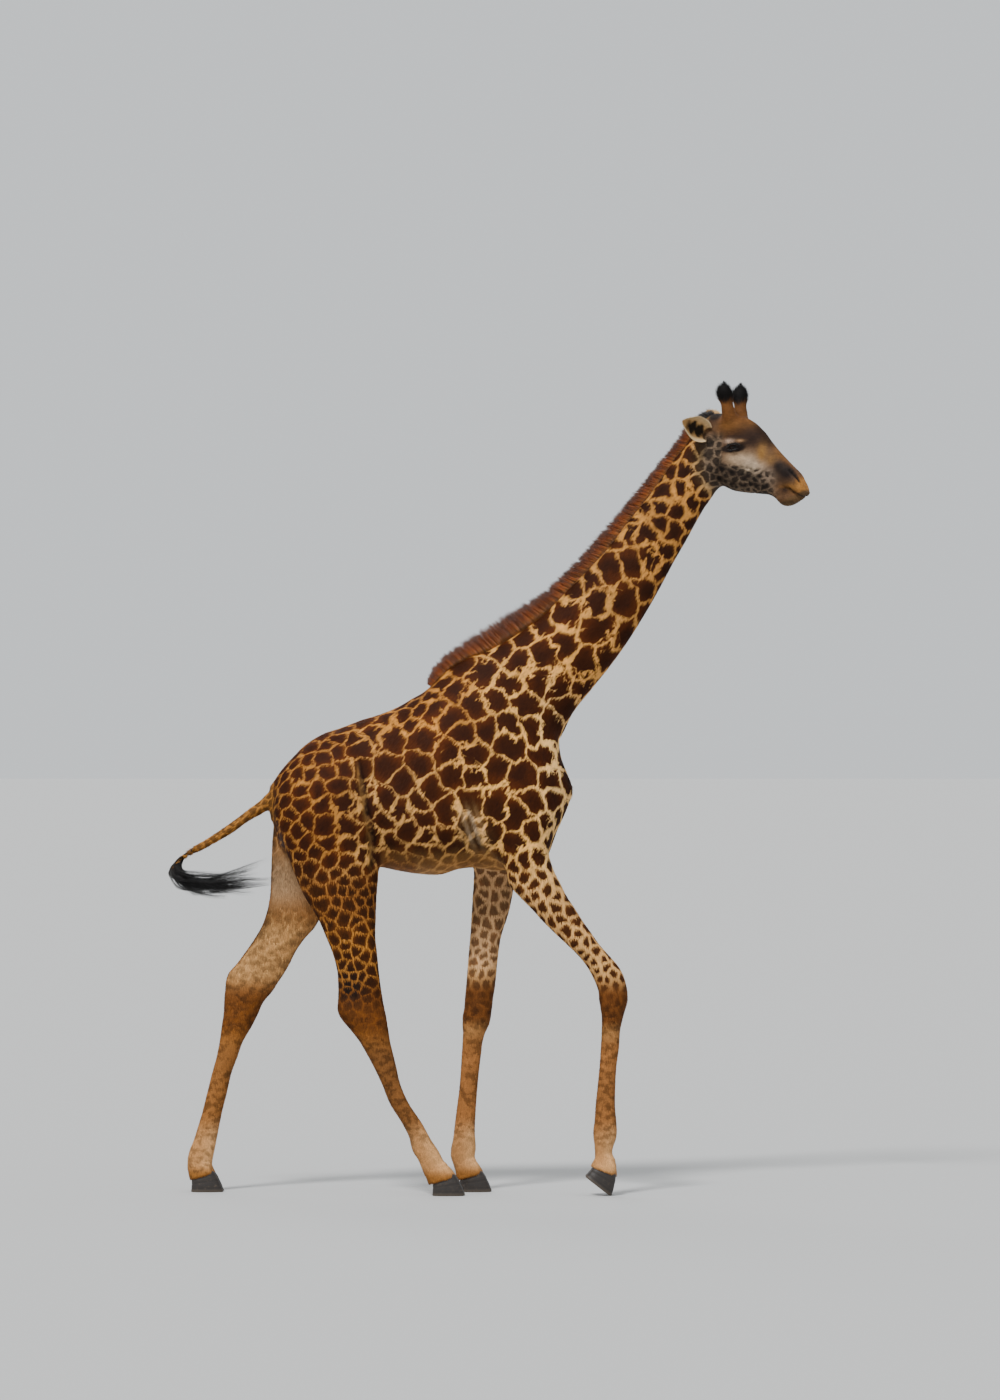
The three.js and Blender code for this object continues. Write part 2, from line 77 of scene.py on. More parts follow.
JAW = """
290 -217 -135 44 0 -165; 350 -225 -150 43 0 -190; 391 -246 -160 43 0 -205; 430 -281 -172 46 0 -225
458 -287 -176 46 0 -232; 486 -282 -186 43 0 -236; 513 -269 -208 34 0 -242; 532 -258 -232 14 0 -248"""
OSSICONE = """
60 122 214 26 40 166; 100 106 230 38 45 163; 150 120 212 40 57 166; 190 126 197 35 69 161; 228 126 187 31 77 156
258 117 187 34 84 151; 288 109 186 37 90 147; 315 120 175 27 95 147; 332 141 160 10 98 150"""
TAIL = """
-1662 1612 1640 12 -38 1626; -1645 1630 1672 13 -38 1651; -1612 1668 1708 14 -36 1688
-1560 1705 1745 15 -32 1725; -1500 1733 1778 17 -26 1756; -1425 1775 1826 19 -18 1801
-1340 1826 1885 22 -10 1856; -1275 1874 1935 25 -4 1905; -1215 1908 1980 30 0 1944; -1160 1937 2028 37 0 1982
-1110 1955 2060 42 0 2008; -1060 1960 2080 44 0 2020"""
HIND_RIGHT = """
60 -362 -236 58 -130; 100 -380 -254 54 -130; 140 -396 -270 50 -130; 180 -412 -287 50 -130; 220 -432 -307 48 -130
280 -452 -346 42 -130; 360 -492 -390 39 -131; 460 -554 -456 38 -133; 560 -595 -500 39 -134
650 -638 -521 42 -136; 720 -676 -538 46 -137; 780 -712 -552 50 -138; 820 -743 -558 53 -139
850 -768 -563 55 -139; 880 -793 -567 56 -140; 920 -812 -575 56 -141; 980 -814 -587 55 -142
1050 -814 -598 55 -144; 1120 -818 -607 59 -147; 1200 -836 -615 66 -149; 1300 -875 -625 76 -151
1400 -920 -622 86 -151; 1500 -983 -617 98 -150; 1600 -1030 -608 112 -146; 1700 -1068 -606 122 -140
1800 -1101 -615 128 -134; 1950 -1134 -644 128 -120; 2050 -1085 -690 116 -112; 2150 -1010 -770 84 -100"""
HIND_LEFT = """
60 -1560 -1450 58 130; 110 -1583 -1462 52 130; 170 -1578 -1454 50 130; 220 -1565 -1444 47 130
300 -1541 -1428 41 131; 400 -1511 -1408 38 132; 500 -1486 -1383 38 133; 600 -1461 -1360 40 135
680 -1439 -1331 43 137; 760 -1423 -1302 48 138; 840 -1412 -1256 53 140; 900 -1403 -1226 55 141
960 -1397 -1198 55 142; 1020 -1394 -1149 55 144; 1060 -1392 -1124 56 145; 1100 -1380 -1097 58 146
1160 -1331 -1063 62 148; 1220 -1287 -1033 68 150; 1280 -1246 -991 74 151; 1340 -1211 -938 80 152
1400 -1188 -905 86 153; 1500 -1167 -868 98 152; 1600 -1163 -830 110 148; 1700 -1160 -785 120 142
1800 -1155 -745 126 136; 1950 -1132 -700 126 122; 2050 -1080 -720 114 112; 2150 -1010 -780 84 100"""
FORE_RIGHT = """
90 430 585 60 -128; 140 457 567 54 -128; 170 472 566 50 -128; 200 476 564 48 -128; 240 475 569 47 -129
280 474 583 50 -129; 320 473 589 50 -130; 360 474 587 46 -131; 440 478 580 39 -133; 540 488 581 36 -135
640 498 586 36 -138; 740 505 599 39 -140; 840 510 607 45 -144; 900 510 621 51 -146; 940 509 632 57 -148
980 503 640 60 -149; 1020 495 639 61 -150; 1060 482 633 61 -152; 1100 464 622 60 -153; 1150 436 596 58 -155
1200 397 553 56 -156; 1260 337 500 55 -158; 1320 273 458 56 -159; 1380 212 416 59 -160; 1440 157 379 64 -160
1500 97 340 70 -160; 1560 45 310 76 -158; 1640 25 272 84 -153; 1720 0 250 92 -148; 1850 -45 258 98 -138
2000 -100 245 100 -128; 2150 -150 190 92 -116; 2300 -190 110 68 -104"""
FORE_LEFT = """
60 -215 -90 60 135; 120 -232 -108 52 135; 170 -244 -126 50 135; 220 -243 -122 49 135; 300 -235 -126 42 136
400 -223 -122 38 137; 500 -210 -115 37 138; 600 -201 -106 38 140; 700 -195 -94 41 143; 760 -191 -86 46 145
800 -189 -75 51 146; 850 -186 -54 57 147; 880 -185 -49 60 148; 930 -182 -42 61 149; 980 -179 -34 60 150
1040 -173 -24 59 152; 1100 -168 -18 56 153; 1200 -160 -8 54 155; 1300 -151 9 56 157; 1400 -146 42 62 158
1500 -141 66 70 158; 1600 -137 80 80 155; 1720 -145 130 90 148; 1850 -170 160 98 138; 2000 -190 165 100 128
2150 -200 150 92 116; 2300 -190 110 68 104"""

X, Y, Z = np.eye(3)
NECK_ALONG = np.array([0.6153, 0, 0.7883])
NECK_FRONT = np.array([0.7883, 0, -0.6153])


def stations(text):
    """Rows of millimetres as metres; a missing widest place is the middle of the two edges."""
    rows = [[float(v) / 1000 for v in row.split()] for row in text.replace("\n", ";").split(";") if row.strip()]
    return np.array([r if len(r) == 6 else r + [(r[1] + r[2]) / 2] for r in rows])


def tube(rows, start, along, high, across, blend, power=2.0, cap=0.05):
    """A tube of stations from a start, its three directions, and how softly it blends with the rest."""
    return dict(rows=rows, start=np.asarray(start), axes=np.array([along, high, across]), blend=blend,
                power=power, cap=cap)


head = (POLL, HEAD_AXES[0], HEAD_AXES[2], HEAD_AXES[1])
horn = (POLL, HEAD_AXES[2], HEAD_AXES[0], HEAD_AXES[1])
TUBES = [
    tube(stations(TRUNK), MIDDLE, X, Z, Y, 0.01, 2.1, 0.012),
    tube(stations(NECK), MIDDLE + [0, 0, 2.4], NECK_ALONG, NECK_FRONT, Y, 0.10, 2.0, 0.08),
    tube(stations(HIND_RIGHT), MIDDLE, Z, X, Y, 0.07, 2.15),
    tube(stations(HIND_LEFT), MIDDLE, Z, X, Y, 0.07, 2.15),
    tube(stations(FORE_RIGHT), MIDDLE, Z, X, Y, 0.07, 2.15),
    tube(stations(FORE_LEFT), MIDDLE, Z, X, Y, 0.07, 2.15),
    tube(stations(TAIL), MIDDLE, X, Z, Y, 0.05, 2.0, 0.02),
    tube(stations(FACE), *head, 0.05, 2.15, 0.012),
    tube(stations(JAW), *head, 0.016, 2.1, 0.012),
    tube(stations(OSSICONE), *horn, 0.045, 2.0, 0.012),
    tube(stations(OSSICONE) * [1, 1, 1, 1, -1, 1], *horn, 0.045, 2.0, 0.012),
]


def along_rows(rows, t):
    """The station values at each t: cubic pieces whose slopes are the mean of the slopes either side."""
    at, value = rows[:, 0], rows[:, 1:]
    slope = np.gradient(value, at, axis=0)
    t = np.clip(t, at[0], at[-1])
    i = np.clip(np.searchsorted(at, t) - 1, 0, len(at) - 2)
    step = at[i + 1] - at[i]
    s = ((t - at[i]) / step)[:, None]
    step = step[:, None]
    return (
        (1 + 2 * s) * (1 - s) ** 2 * value[i]
        + s * (1 - s) ** 2 * step * slope[i]
        + s ** 2 * (3 - 2 * s) * value[i + 1]
        + s ** 2 * (s - 1) * step * slope[i + 1]
    )


def tube_field(one, p):
    """Roughly how far each point is outside the tube: its distance from the tube's middle, less its reach."""
    q = (p - one["start"]) @ one["axes"].T
    low, high, half, middle, widest = along_rows(one["rows"], q[:, 0]).T
    u, v = q[:, 1] - widest, q[:, 2] - middle
    ends = one["rows"][[0, -1], 0]
    beyond = np.maximum(np.maximum(ends[0] - q[:, 0], q[:, 0] - ends[1]), 0)
    reach = np.maximum(np.where(u > 0, high - widest, widest - low), 0.004)
    n = one["power"]
    ratio = (np.abs(u / reach) ** n + np.abs(v / half) ** n + (beyond / one["cap"]) ** n) ** (1 / n)
    return np.sqrt(u * u + v * v + beyond * beyond) * (1 - 1 / np.maximum(ratio, 0.05))


def ramp(value, start, end):
    """0 before the start, 1 after the end, and a smooth rise between; start may be above end."""
    s = np.clip((value - start) / (end - start), 0, 1)
    return s * s * (3 - 2 * s)


def coat_depth(p):
    """How far the skin lies inside the solids: the coat's thickness, least on head, legs and tail."""
    h = (p - POLL) @ HEAD_AXES.T
    depth = COAT_DEPTH - 0.0042 * ramp(p[:, 2], 1.70, 1.25) - 0.004 * ramp(p[:, 0], -1.05, -1.12)
    depth = np.maximum(depth, 0.0018)
    depth = depth + (0.0035 - depth) * ramp(h[:, 0], -0.10, 0.02) * (p[:, 2] > 3.2)
    return depth - 0.0035 * ramp(h[:, 2], 0.15, 0.21) * (p[:, 2] > 3.2)


def soft_min(a, b, k):
    """The lesser of two fields, rounded where they are within k of each other."""
    h = np.maximum(k - np.abs(a - b), 0) / k
    return np.minimum(a, b) - h * h * k / 4


def tube_box(one, margin):
    """Lowest and highest corners of a box that holds the tube, with a margin all round."""
    r = one["rows"]
    corners = [
        one["start"] + np.array([t, u, v]) @ one["axes"]
        for t in (r[0, 0] - one["cap"], r[-1, 0] + one["cap"])
        for u in (r[:, 1].min(), r[:, 2].max())
        for v in ((r[:, 4] - r[:, 3]).min(), (r[:, 4] + r[:, 3]).max())
    ]
    return np.min(corners, 0) - margin, np.max(corners, 0) + margin


# Folds, bones and hollows: from one point to another, width, depth (below 0 stands out), in millimetres.
# Those of BOTH_SIDES are made on the left as well as the right.
BOTH_SIDES = """
-700 -215 2255 -690 -215 2235 55 -13; -575 -240 2230 -560 -250 2120 75 13; -655 -262 2120 -600 -262 1740 16 8
-110 -120 2600 150 -205 2150 48 -9; 60 -130 2540 215 -160 2330 55 8; 215 -170 2070 205 -175 2030 55 -11
-190 -262 2380 -150 -262 2000 55 8; -1000 -150 2110 -960 -200 1900 60 -6; -330 -292 2200 -400 -292 1860 17 -3
-430 -292 2190 -500 -290 1880 17 -3; -520 -285 2190 -585 -280 1900 17 -3; 226 -96 2414 967 -66 3485 26 6
-880 -232 2080 -860 -250 1800 60 -5; 80 -225 2020 150 -215 1820 55 -6; -100 -80 2700 560 -62 3110 34 5"""
ONE_SIDE = """
-145 -262 1930 -92 -238 1655 24 9; -60 -248 1780 -40 -238 1690 38 -9; -205 262 1900 -160 240 1650 24 12
350 0 2080 300 0 1850 30 8; -1000 0 2262 -450 0 2500 26 -5; -775 -205 1180 -760 -200 1000 17 8
-775 -88 1180 -760 -86 1000 17 8; -800 -140 945 -790 -140 935 26 -4; -1290 212 1200 -1345 202 1040 17 8
-1290 86 1200 -1345 86 1040 17 8; -1388 140 980 -1385 140 960 26 -4; 520 -205 920 505 -178 480 9 3
520 -85 920 505 -92 480 9 3; -180 205 830 -205 180 430 9 3; -180 88 830 -205 96 430 9 3
-690 -195 780 -545 -174 470 9 3; -690 -84 780 -545 -92 470 9 3; -1415 192 800 -1492 172 430 9 3
-1415 90 800 -1492 92 430 9 3; 628 -150 1030 634 -150 985 26 -3; 502 -148 985 505 -148 945 20 -6
-50 150 930 -48 150 885 26 -3; -190 148 890 -192 148 850 20 -6; 470 -130 320 476 -130 300 26 -6
-247 135 210 -248 135 190 26 -6; -442 -130 250 -436 -130 220 26 -6; -1576 130 210 -1578 130 180 26 -6"""
ON_THE_HEAD = """
168 -100 50 245 -90 36 15 -6; 105 -98 62 130 -96 50 26 7; 232 -96 -34 385 -62 -112 15 -4
118 -92 -100 130 -92 -80 52 -7; 395 -64 -140 420 -62 -160 30 5; 512 -50 -138 520 -50 -150 20 -5
560 0 -196 562 0 -236 6 4; 245 0 128 238 0 120 42 -9; 36 -82 84 34 -90 86 24 -8; 60 0 186 90 0 184 36 -4
162 -110 -16 250 -106 -22 7 3; 170 -110 -26 240 -104 -34 8 2.5; 160 -104 30 236 -102 28 7 3"""
# Lips, nostrils and skin folds, whose lines are first drawn onto the plain skin.
ON_THE_SURFACE = """
567 0 -240 548 -26 -242 5 7; 548 -26 -242 528 -44 -236 5 7; 528 -44 -236 503 -56 -223 5 7
503 -56 -223 484 -61 -208 5 7; 484 -61 -208 455 -62 -199 5 6; 455 -62 -199 430 -60 -198 5 4
492 -47 -106 508 -49 -112 5 8; 508 -49 -112 524 -48 -128 6 12; 524 -48 -128 535 -43 -148 6.5 13
535 -43 -148 540 -40 -162 5 8; 484 -47 -118 500 -52 -132 9 -4; 500 -52 -132 520 -50 -158 9 -5
480 -40 -90 512 -38 -96 8 -3; 512 -38 -96 540 -34 -132 8 -4"""
# Folds where the thigh and the elbow meet the belly, and the crease at the foot of the neck.
FOLDS = """
-712 -250 2190 -699 -250 2105 9 10; -699 -250 2105 -664 -250 1920 9 22; -664 -250 1920 -640 -250 1800 9 32
-640 -250 1800 -612 -250 1660 10 30; -748 -250 2105 -710 -250 1920 32 -10; -710 -250 1920 -686 -250 1800 34 -17
-686 -250 1800 -662 -250 1690 30 -16; -670 250 2180 -695 250 2000 11 12; -695 250 2000 -730 250 1820 11 18
-730 250 1820 -785 250 1680 12 18; -738 250 2000 -772 250 1820 24 -9; -772 250 1820 -826 250 1680 22 -9
-168 -240 1960 -150 -240 1880 9 8; -150 -240 1880 -118 -240 1760 9 14; -118 -240 1760 -62 -240 1650 10 15
-120 -240 1850 -88 -240 1740 15 -9; -88 -240 1740 -40 -240 1650 15 -8; -196 -240 1850 -168 -240 1730 10 8
-215 240 1900 -185 240 1760 9 11; -185 240 1760 -160 240 1640 9 10; 222 -170 2290 236 -170 2180 9 5
222 170 2290 236 170 2180 9 5"""


def form_rows(text, kind):
    """Each form's start, end, width and height, on one side, on both, or in the head's directions."""
    rows = np.array([[float(v) for v in row.split()] for row in text.replace("\n", ";").split(";") if row.strip()])
    rows /= 1000
    if kind in ("both", "head"):
        rows = np.vstack([rows, rows * [1, -1, 1, 1, -1, 1, 1, 1]])
    a, b = rows[:, :3], rows[:, 3:6]
    if kind == "head":
        return POLL + a @ HEAD_AXES, POLL + b @ HEAD_AXES, rows[:, 6], rows[:, 7]
    return a + MIDDLE, b + MIDDLE, rows[:, 6], rows[:, 7]


FORMS = [
    form for text, kind in ((BOTH_SIDES, "both"), (ONE_SIDE, "one"), (ON_THE_HEAD, "head"))
    for form in zip(*form_rows(text, kind))
]
SURFACE_FORMS = list(zip(*form_rows(ON_THE_SURFACE, "head"))) + list(zip(*form_rows(FOLDS, "one")))
DRAWN_FORMS = []  # the surface forms once their lines are drawn onto the plain skin


def to_line(p, a, b):
    """Distance from each point to the line from a to b."""
    s = np.clip((p - a) @ (b - a) / max((b - a) @ (b - a), 1e-9), 0, 1)
    return np.linalg.norm(p - a - s[:, None] * (b - a), axis=1)


# The lids are a dome over the eyeball with an almond cut in it, and below each coronet there is no skin.
EYE = POLL + np.array([[0.205, -0.090, 0.014], [0.205, 0.090, 0.014]]) @ HEAD_AXES
EYE_RADIUS = 0.023
# Each foot: the middle of its coronet, and how many degrees its heel is lifted.
FEET = {
    "fore_hoof_right": ([0.522, -0.128, 0.129], 38),
    "fore_hoof_left": ([-0.152, 0.135, 0.084], 0),
    "hind_hoof_right": ([-0.286, -0.130, 0.084], 0),
    "hind_hoof_left": ([-1.510, 0.130, 0.084], 0),
}


CORONET_LEAN = 16  # degrees by which the coronet's plane falls from front to back


def foot_axes(pitch):
    """Rows: ahead, left and up for a foot whose heel is lifted by the pitch."""
    c, s = np.cos(np.radians(pitch)), np.sin(np.radians(pitch))
    return np.array([[c, 0, -s], [0, 1, 0], [s, 0, c]])


# Each pastern widens to the coronet, where the two toes of horn begin, with a cleft before and behind.
PASTERN = stations("-14 -64 68 70 0 2; 6 -61 65 68 0 2; 26 -54 58 61 0 2; 46 -42 46 51 0 1; 62 -30 32 40 0 0")
for place, pitch in FEET.values():
    ahead, left, up = foot_axes(pitch - CORONET_LEAN)
    TUBES.append(tube(PASTERN, np.array(place) + MIDDLE, up, ahead, left, 0.035, 2.7, 0.012))
    for reach in (0.066, -0.060):
        SURFACE_FORMS.append((np.array(place) + MIDDLE + reach * ahead - 0.004 * up,
                              np.array(place) + MIDDLE + 0.9 * reach * ahead + 0.030 * up, 0.007, 0.010))


def body_field(p, forms=True):
    """Roughly how far each point is outside the skin."""
    field = np.full(len(p), 0.3)
    for one in TUBES:
        low, high = tube_box(one, one["blend"] + 0.05)
        near = np.flatnonzero(np.all((p > low) & (p < high), axis=1))
        if len(near):
            field[near] = soft_min(field[near], tube_field(one, p[near]), one["blend"])
    thin = coat_depth(p)
    if not forms:
        return field + thin
    sunk, raised = np.zeros(len(p)), np.zeros(len(p))
    for n, (a, b, width, depth) in enumerate(FORMS + DRAWN_FORMS):
        low, high = np.minimum(a, b) - 3.2 * width, np.maximum(a, b) + 3.2 * width
        near = np.flatnonzero(np.all((p > low) & (p < high), axis=1))
        if len(near):
            value = depth * np.exp(-0.5 * (to_line(p[near], a, b) / width) ** 2)
            if n < len(FORMS):
                field[near] += value
            else:
                sunk[near], raised[near] = np.maximum(sunk[near], value), np.minimum(raised[near], value)
    field += sunk + raised
    for side, eye in zip((-1, 1), EYE):
        q = (p - eye) @ HEAD_AXES.T
        near = np.flatnonzero(np.linalg.norm(q, axis=1) < 0.08)
        q = q[near] * [1, side, 1]
        lids = np.linalg.norm(q, axis=1) - EYE_RADIUS - 0.0035 - thin[near]
        field[near] = soft_min(field[near], lids, 0.014)
        along, up = q[:, 0] + 0.002, q[:, 2] - 0.10 * q[:, 0] + 0.0015
        reach = 0.0300
        arch = np.where(up > 0, 0.0120, 0.0112) * np.sqrt(np.maximum(1 - (along / reach) ** 2, 0))
        opening = np.maximum(np.abs(up) - arch, np.abs(along) - reach)
        opening = np.maximum(np.maximum(opening, 0.010 - q[:, 1]), EYE_RADIUS - 0.004 - np.linalg.norm(q, axis=1))
        field[near] = -soft_min(-field[near], opening + thin[near], 0.0025)
    return field + thin


def cut_feet(p, field):
    """The field with what lies below each coronet's plane taken away."""
    for place, pitch in FEET.values():
        q = (p - place - MIDDLE) @ foot_axes(pitch - CORONET_LEAN).T
        near = np.flatnonzero((np.abs(q[:, 0]) < 0.16) & (np.abs(q[:, 1]) < 0.1) & (np.abs(q[:, 2]) < 0.12))
        field[near] = -soft_min(-field[near], q[near, 2] + 0.006, 0.006)
    return field


def skin_field(p, forms=True):
    """The body's field, ended at the coronets."""
    return cut_feet(p, body_field(p, forms))


# The skin is the closed surface where the body's field is zero. A branching body is no function of two
# parameters, so it is laid on a lattice, then drawn onto the surface, and split finer on head and feet.
def lattice_field(low, step, counts):
    """The field without forms at each lattice point, worked out tube by tube within the tube's own box."""
    field = np.full(counts, 0.3)
    axes = [low[i] + step * np.arange(counts[i]) for i in range(3)]
    for one in TUBES:
        box_low, box_high = tube_box(one, one["blend"] + 0.05)
        part = tuple(
            slice(*np.clip(np.searchsorted(axes[i], [box_low[i], box_high[i]]), 0, counts[i])) for i in range(3)
        )
        p = np.stack(np.meshgrid(*[axes[i][part[i]] for i in range(3)], indexing="ij"), -1)
        value = tube_field(one, p.reshape(-1, 3)).reshape(p.shape[:3])
        field[part] = soft_min(field[part], value, one["blend"])
    return field + COAT_DEPTH


def lattice_surface(field, low, step):
    """Points and quads where the field crosses zero: one point in each crossed cell, at the mean of its
    crossings, and one quad round each crossed lattice edge."""
    shape = np.array(field.shape)
    inside = field < 0
    cells, places, flips = [], [], []
    for axis in range(3):
        a = np.take(inside, range(shape[axis] - 1), axis)
        b = np.take(inside, range(1, shape[axis]), axis)
        node = np.argwhere(a != b)
        other = node + np.eye(3, dtype=int)[axis]
        f0, f1 = field[tuple(node.T)], field[tuple(other.T)]
        place = node + np.eye(3)[axis] * (f0 / (f0 - f1))[:, None]
        u, v = np.eye(3, dtype=int)[(axis + 1) % 3], np.eye(3, dtype=int)[(axis + 2) % 3]
        ring = np.stack([node - u - v, node - v, node, node - u], 1)
        cells.append(np.ravel_multi_index(np.moveaxis(ring, -1, 0), shape))
        places.append(place)
        flips.append(f0 > 0)
    cells, places, flips = np.concatenate(cells), np.concatenate(places), np.concatenate(flips)
    used, quads = np.unique(cells, return_inverse=True)
    quads = quads.reshape(-1, 4)
    total, count = np.zeros((len(used), 3)), np.zeros(len(used))
    for corner in range(4):
        np.add.at(total, quads[:, corner], places)
        np.add.at(count, quads[:, corner], 1)
    quads[flips] = quads[flips][:, ::-1]
    return low + step * total / count[:, None], quads


def draw_onto(p, field_of, rounds):
    """Moves points along the field's slope to where it is zero, by no more than `most` in each round."""
    most, e = 0.01, 0.0008
    for _ in range(rounds):
        value = field_of(p)
        slope = np.stack([(field_of(p + e * axis) - value) / e for axis in np.eye(3)], 1)
        move = value[:, None] * slope / np.maximum((slope ** 2).sum(1), 0.05)[:, None]
        far = np.linalg.norm(move, axis=1)
        p = p - move * (np.minimum(far, most) / np.maximum(far, 1e-9))[:, None]
    return p


def evened(p, edges, rounds):
    """Moves each point half way to the mean of its neighbours."""
    for _ in range(rounds):
        total, count = np.zeros_like(p), np.zeros(len(p))
        for a, b in ((0, 1), (1, 0)):
            np.add.at(total, edges[:, a], p[edges[:, b]])
            np.add.at(count, edges[:, a], 1)
        p = 0.5 * p + 0.5 * total / count[:, None]
    return p


def mesh_of(name, points, faces):
    """A mesh from points and the lists of corners of its faces."""
    mesh = bpy.data.meshes.new(name)
    mesh.from_pydata(np.asarray(points).tolist(), [], faces.tolist() if hasattr(faces, "tolist") else list(faces))
    mesh.update()
    return mesh


def read(items, field, width=3, kind=np.float32):
    """A field of every vertex, edge or face, as one row of numbers each."""
    out = np.empty(len(items) * width, kind)
    items.foreach_get(field, out)
    return out.reshape(-1, width).astype(float if kind is np.float32 else int)


def linked(name, data):
    """An object for the mesh or light, put in the scene."""
    made = bpy.data.objects.new(name, data)
    bpy.context.collection.objects.link(made)
    return made


def split_finer(mesh, pick):
    """Cuts each edge in two where `pick` says so of its middle, and fills the quads between."""
    work = bmesh.new()
    work.from_mesh(mesh)
    work.edges.ensure_lookup_table()
    middles = np.array([(e.verts[0].co + e.verts[1].co) / 2 for e in work.edges])
    chosen = [work.edges[i] for i in np.flatnonzero(pick(middles))]
    bmesh.ops.subdivide_edges(work, edges=chosen, cuts=1, use_grid_fill=True)
    work.to_mesh(mesh)
    work.free()


def in_head(p):
    """Places ahead, left and up of the poll."""
    return (p - POLL) @ HEAD_AXES.T


def on_head(p):
    """Which points lie on the head."""
    q = in_head(p)
    return (q[:, 0] > -0.07) & (q[:, 2] > -0.33) & (np.abs(q[:, 1]) < 0.16)


def round_eyes_and_lips(p):
    """Which points lie within 50 mm of an eye or on the front of the muzzle."""
    q = in_head(p)
    eyes = np.min([np.linalg.norm(p - eye, axis=1) for eye in EYE], axis=0) < 0.05
    return eyes | ((q[:, 0] > 0.44) & on_head(p))


def close_round_eyes_and_lips(p):
    """Which points lie within 36 mm of an eye, or 12 mm of a line of the lips or nostrils."""
    eyes = np.min([np.linalg.norm(p - eye, axis=1) for eye in EYE], axis=0) < 0.036
    lips = [to_line(p, a, b) < 0.012 for a, b, _, depth in DRAWN_FORMS if depth > 0 and b[2] > 2.5]
    return eyes | np.any(lips, axis=0)


def on_feet_or_tail(p):
    """Which points lie on the feet, on the tail, or within 24 mm of a fold's line."""
    folds = [to_line(p, a, b) < 0.024 for a, b, _, depth in DRAWN_FORMS if depth > 0 and b[2] < 2.5]
    return np.any(folds, axis=0) | (p[:, 2] < 0.26) | (p[:, 0] < -1.12 + MIDDLE[0]) & (p[:, 2] > 1.58)


STEP = 0.0145
LOW = np.array([-1.70, -0.36, -0.02]) + MIDDLE
COUNTS = np.ceil((np.array([1.66, 0.36, 4.12]) + MIDDLE - LOW) / STEP).astype(int)
points, quads = lattice_surface(lattice_field(LOW, STEP, COUNTS), LOW, STEP)
skin_mesh = mesh_of("skin", points, quads)
pairs = read(skin_mesh.edges, "vertices", 2, np.int32)
points = draw_onto(evened(points, pairs, 2), lambda p: skin_field(p, False), 2)
points = draw_onto(evened(points, pairs, 1), lambda p: skin_field(p, False), 1)
skin_mesh.vertices.foreach_set("co", points.ravel())
for start, end, width, depth in SURFACE_FORMS:
    start, end = draw_onto(np.array([start, end]), lambda p: body_field(p, False), 8)
    DRAWN_FORMS.append((start, end, width, depth))
for finer in (lambda p: on_head(p) | on_feet_or_tail(p), round_eyes_and_lips, close_round_eyes_and_lips):
    split_finer(skin_mesh, finer)
points, pairs = read(skin_mesh.vertices, "co"), read(skin_mesh.edges, "vertices", 2, np.int32)
points = draw_onto(evened(draw_onto(points, skin_field, 2), pairs, 1), skin_field, 3)
skin_mesh.vertices.foreach_set("co", points.ravel())
skin_mesh.update()
skin = linked("skin", skin_mesh)


# ---------------------------------------------------------------------------------------------------
# The ears. Real thing: leaves of gristle rolled into cups, covered by the same hide, pale inside with a
# dark spot. Each is thin and closed all round, and joined into the skin as one surface.
# ---------------------------------------------------------------------------------------------------
EAR_LENGTH, EAR_WIDTH, EAR_WALL, EAR_BOW = 0.180, 0.064, 0.0036, 0.018
EARS = {
    "right": ([0.030, -0.075, 0.087], [-0.116, -0.128, 0.056], [0.3, -0.9, -0.05]),
    "left": ([0.036, 0.074, 0.088], [-0.062, 0.122, 0.132], [0.85, 0.35, -0.1]),
}


def ear_axes(base, heading, opening):
    """The root's place and the directions out to the tip, across and into the cup."""
    out = np.array(heading) / np.linalg.norm(heading)
    hollow = np.array(opening) - out * (np.array(opening) @ out)
    hollow /= np.linalg.norm(hollow)
    return POLL + np.array(base) @ HEAD_AXES, out, np.cross(out, hollow), hollow


def ear_at(axes, u, v, lift):
    """Point of the leaf at u from base to tip and v from edge to edge, -1 to 1, raised into the cup:
    root + out L u - hollow B sin(pi u) + across r sin(a) + hollow r (1 - cos a), where a = v (1.75 - 0.75 u),
    r = w(u) / max(0.9, 0.72 (1.75 - 0.75 u)) and w = W sin(pi (0.12 + 0.85 u^0.8))^0.75; the edge waves a little."""
    root, out, across, hollow = axes
    roll = 1.75 - 0.75 * u
    half = EAR_WIDTH * np.sin(np.pi * (0.12 + 0.85 * u ** 0.8)) ** 0.75
    radius = half / np.maximum(0.9, 0.72 * roll)
    angle = v * roll
    wave = 0.004 * np.abs(v) ** 3 * np.sin(9 * u + 1)
    spine = root + EAR_LENGTH * u[..., None] * out - EAR_BOW * np.sin(np.pi * u)[..., None] * hollow
    inward = np.cos(angle)[..., None] * hollow - np.sin(angle)[..., None] * across
    reach = (radius * np.sin(angle))[..., None] * across + (radius * (1 - np.cos(angle)) + wave)[..., None] * hollow
    return spine + reach + np.asarray(lift)[..., None] * inward


def ring_faces(rows, ring):
    """Quads of a closed-round grid of rows, with one face over each end."""
    i, j = np.meshgrid(np.arange(rows - 1), np.arange(ring), indexing="ij")
    k = (j + 1) % ring
    quads = np.stack([i * ring + j, i * ring + k, (i + 1) * ring + k, (i + 1) * ring + j], -1).reshape(-1, 4)
    return quads.tolist() + [list(range(ring))[::-1], list(range((rows - 1) * ring, rows * ring))]


def facing_out(mesh):
    """Turns the faces of a closed mesh outwards."""
    work = bmesh.new()
    work.from_mesh(mesh)
    bmesh.ops.recalc_face_normals(work, faces=work.faces)
    work.to_mesh(mesh)
    work.free()


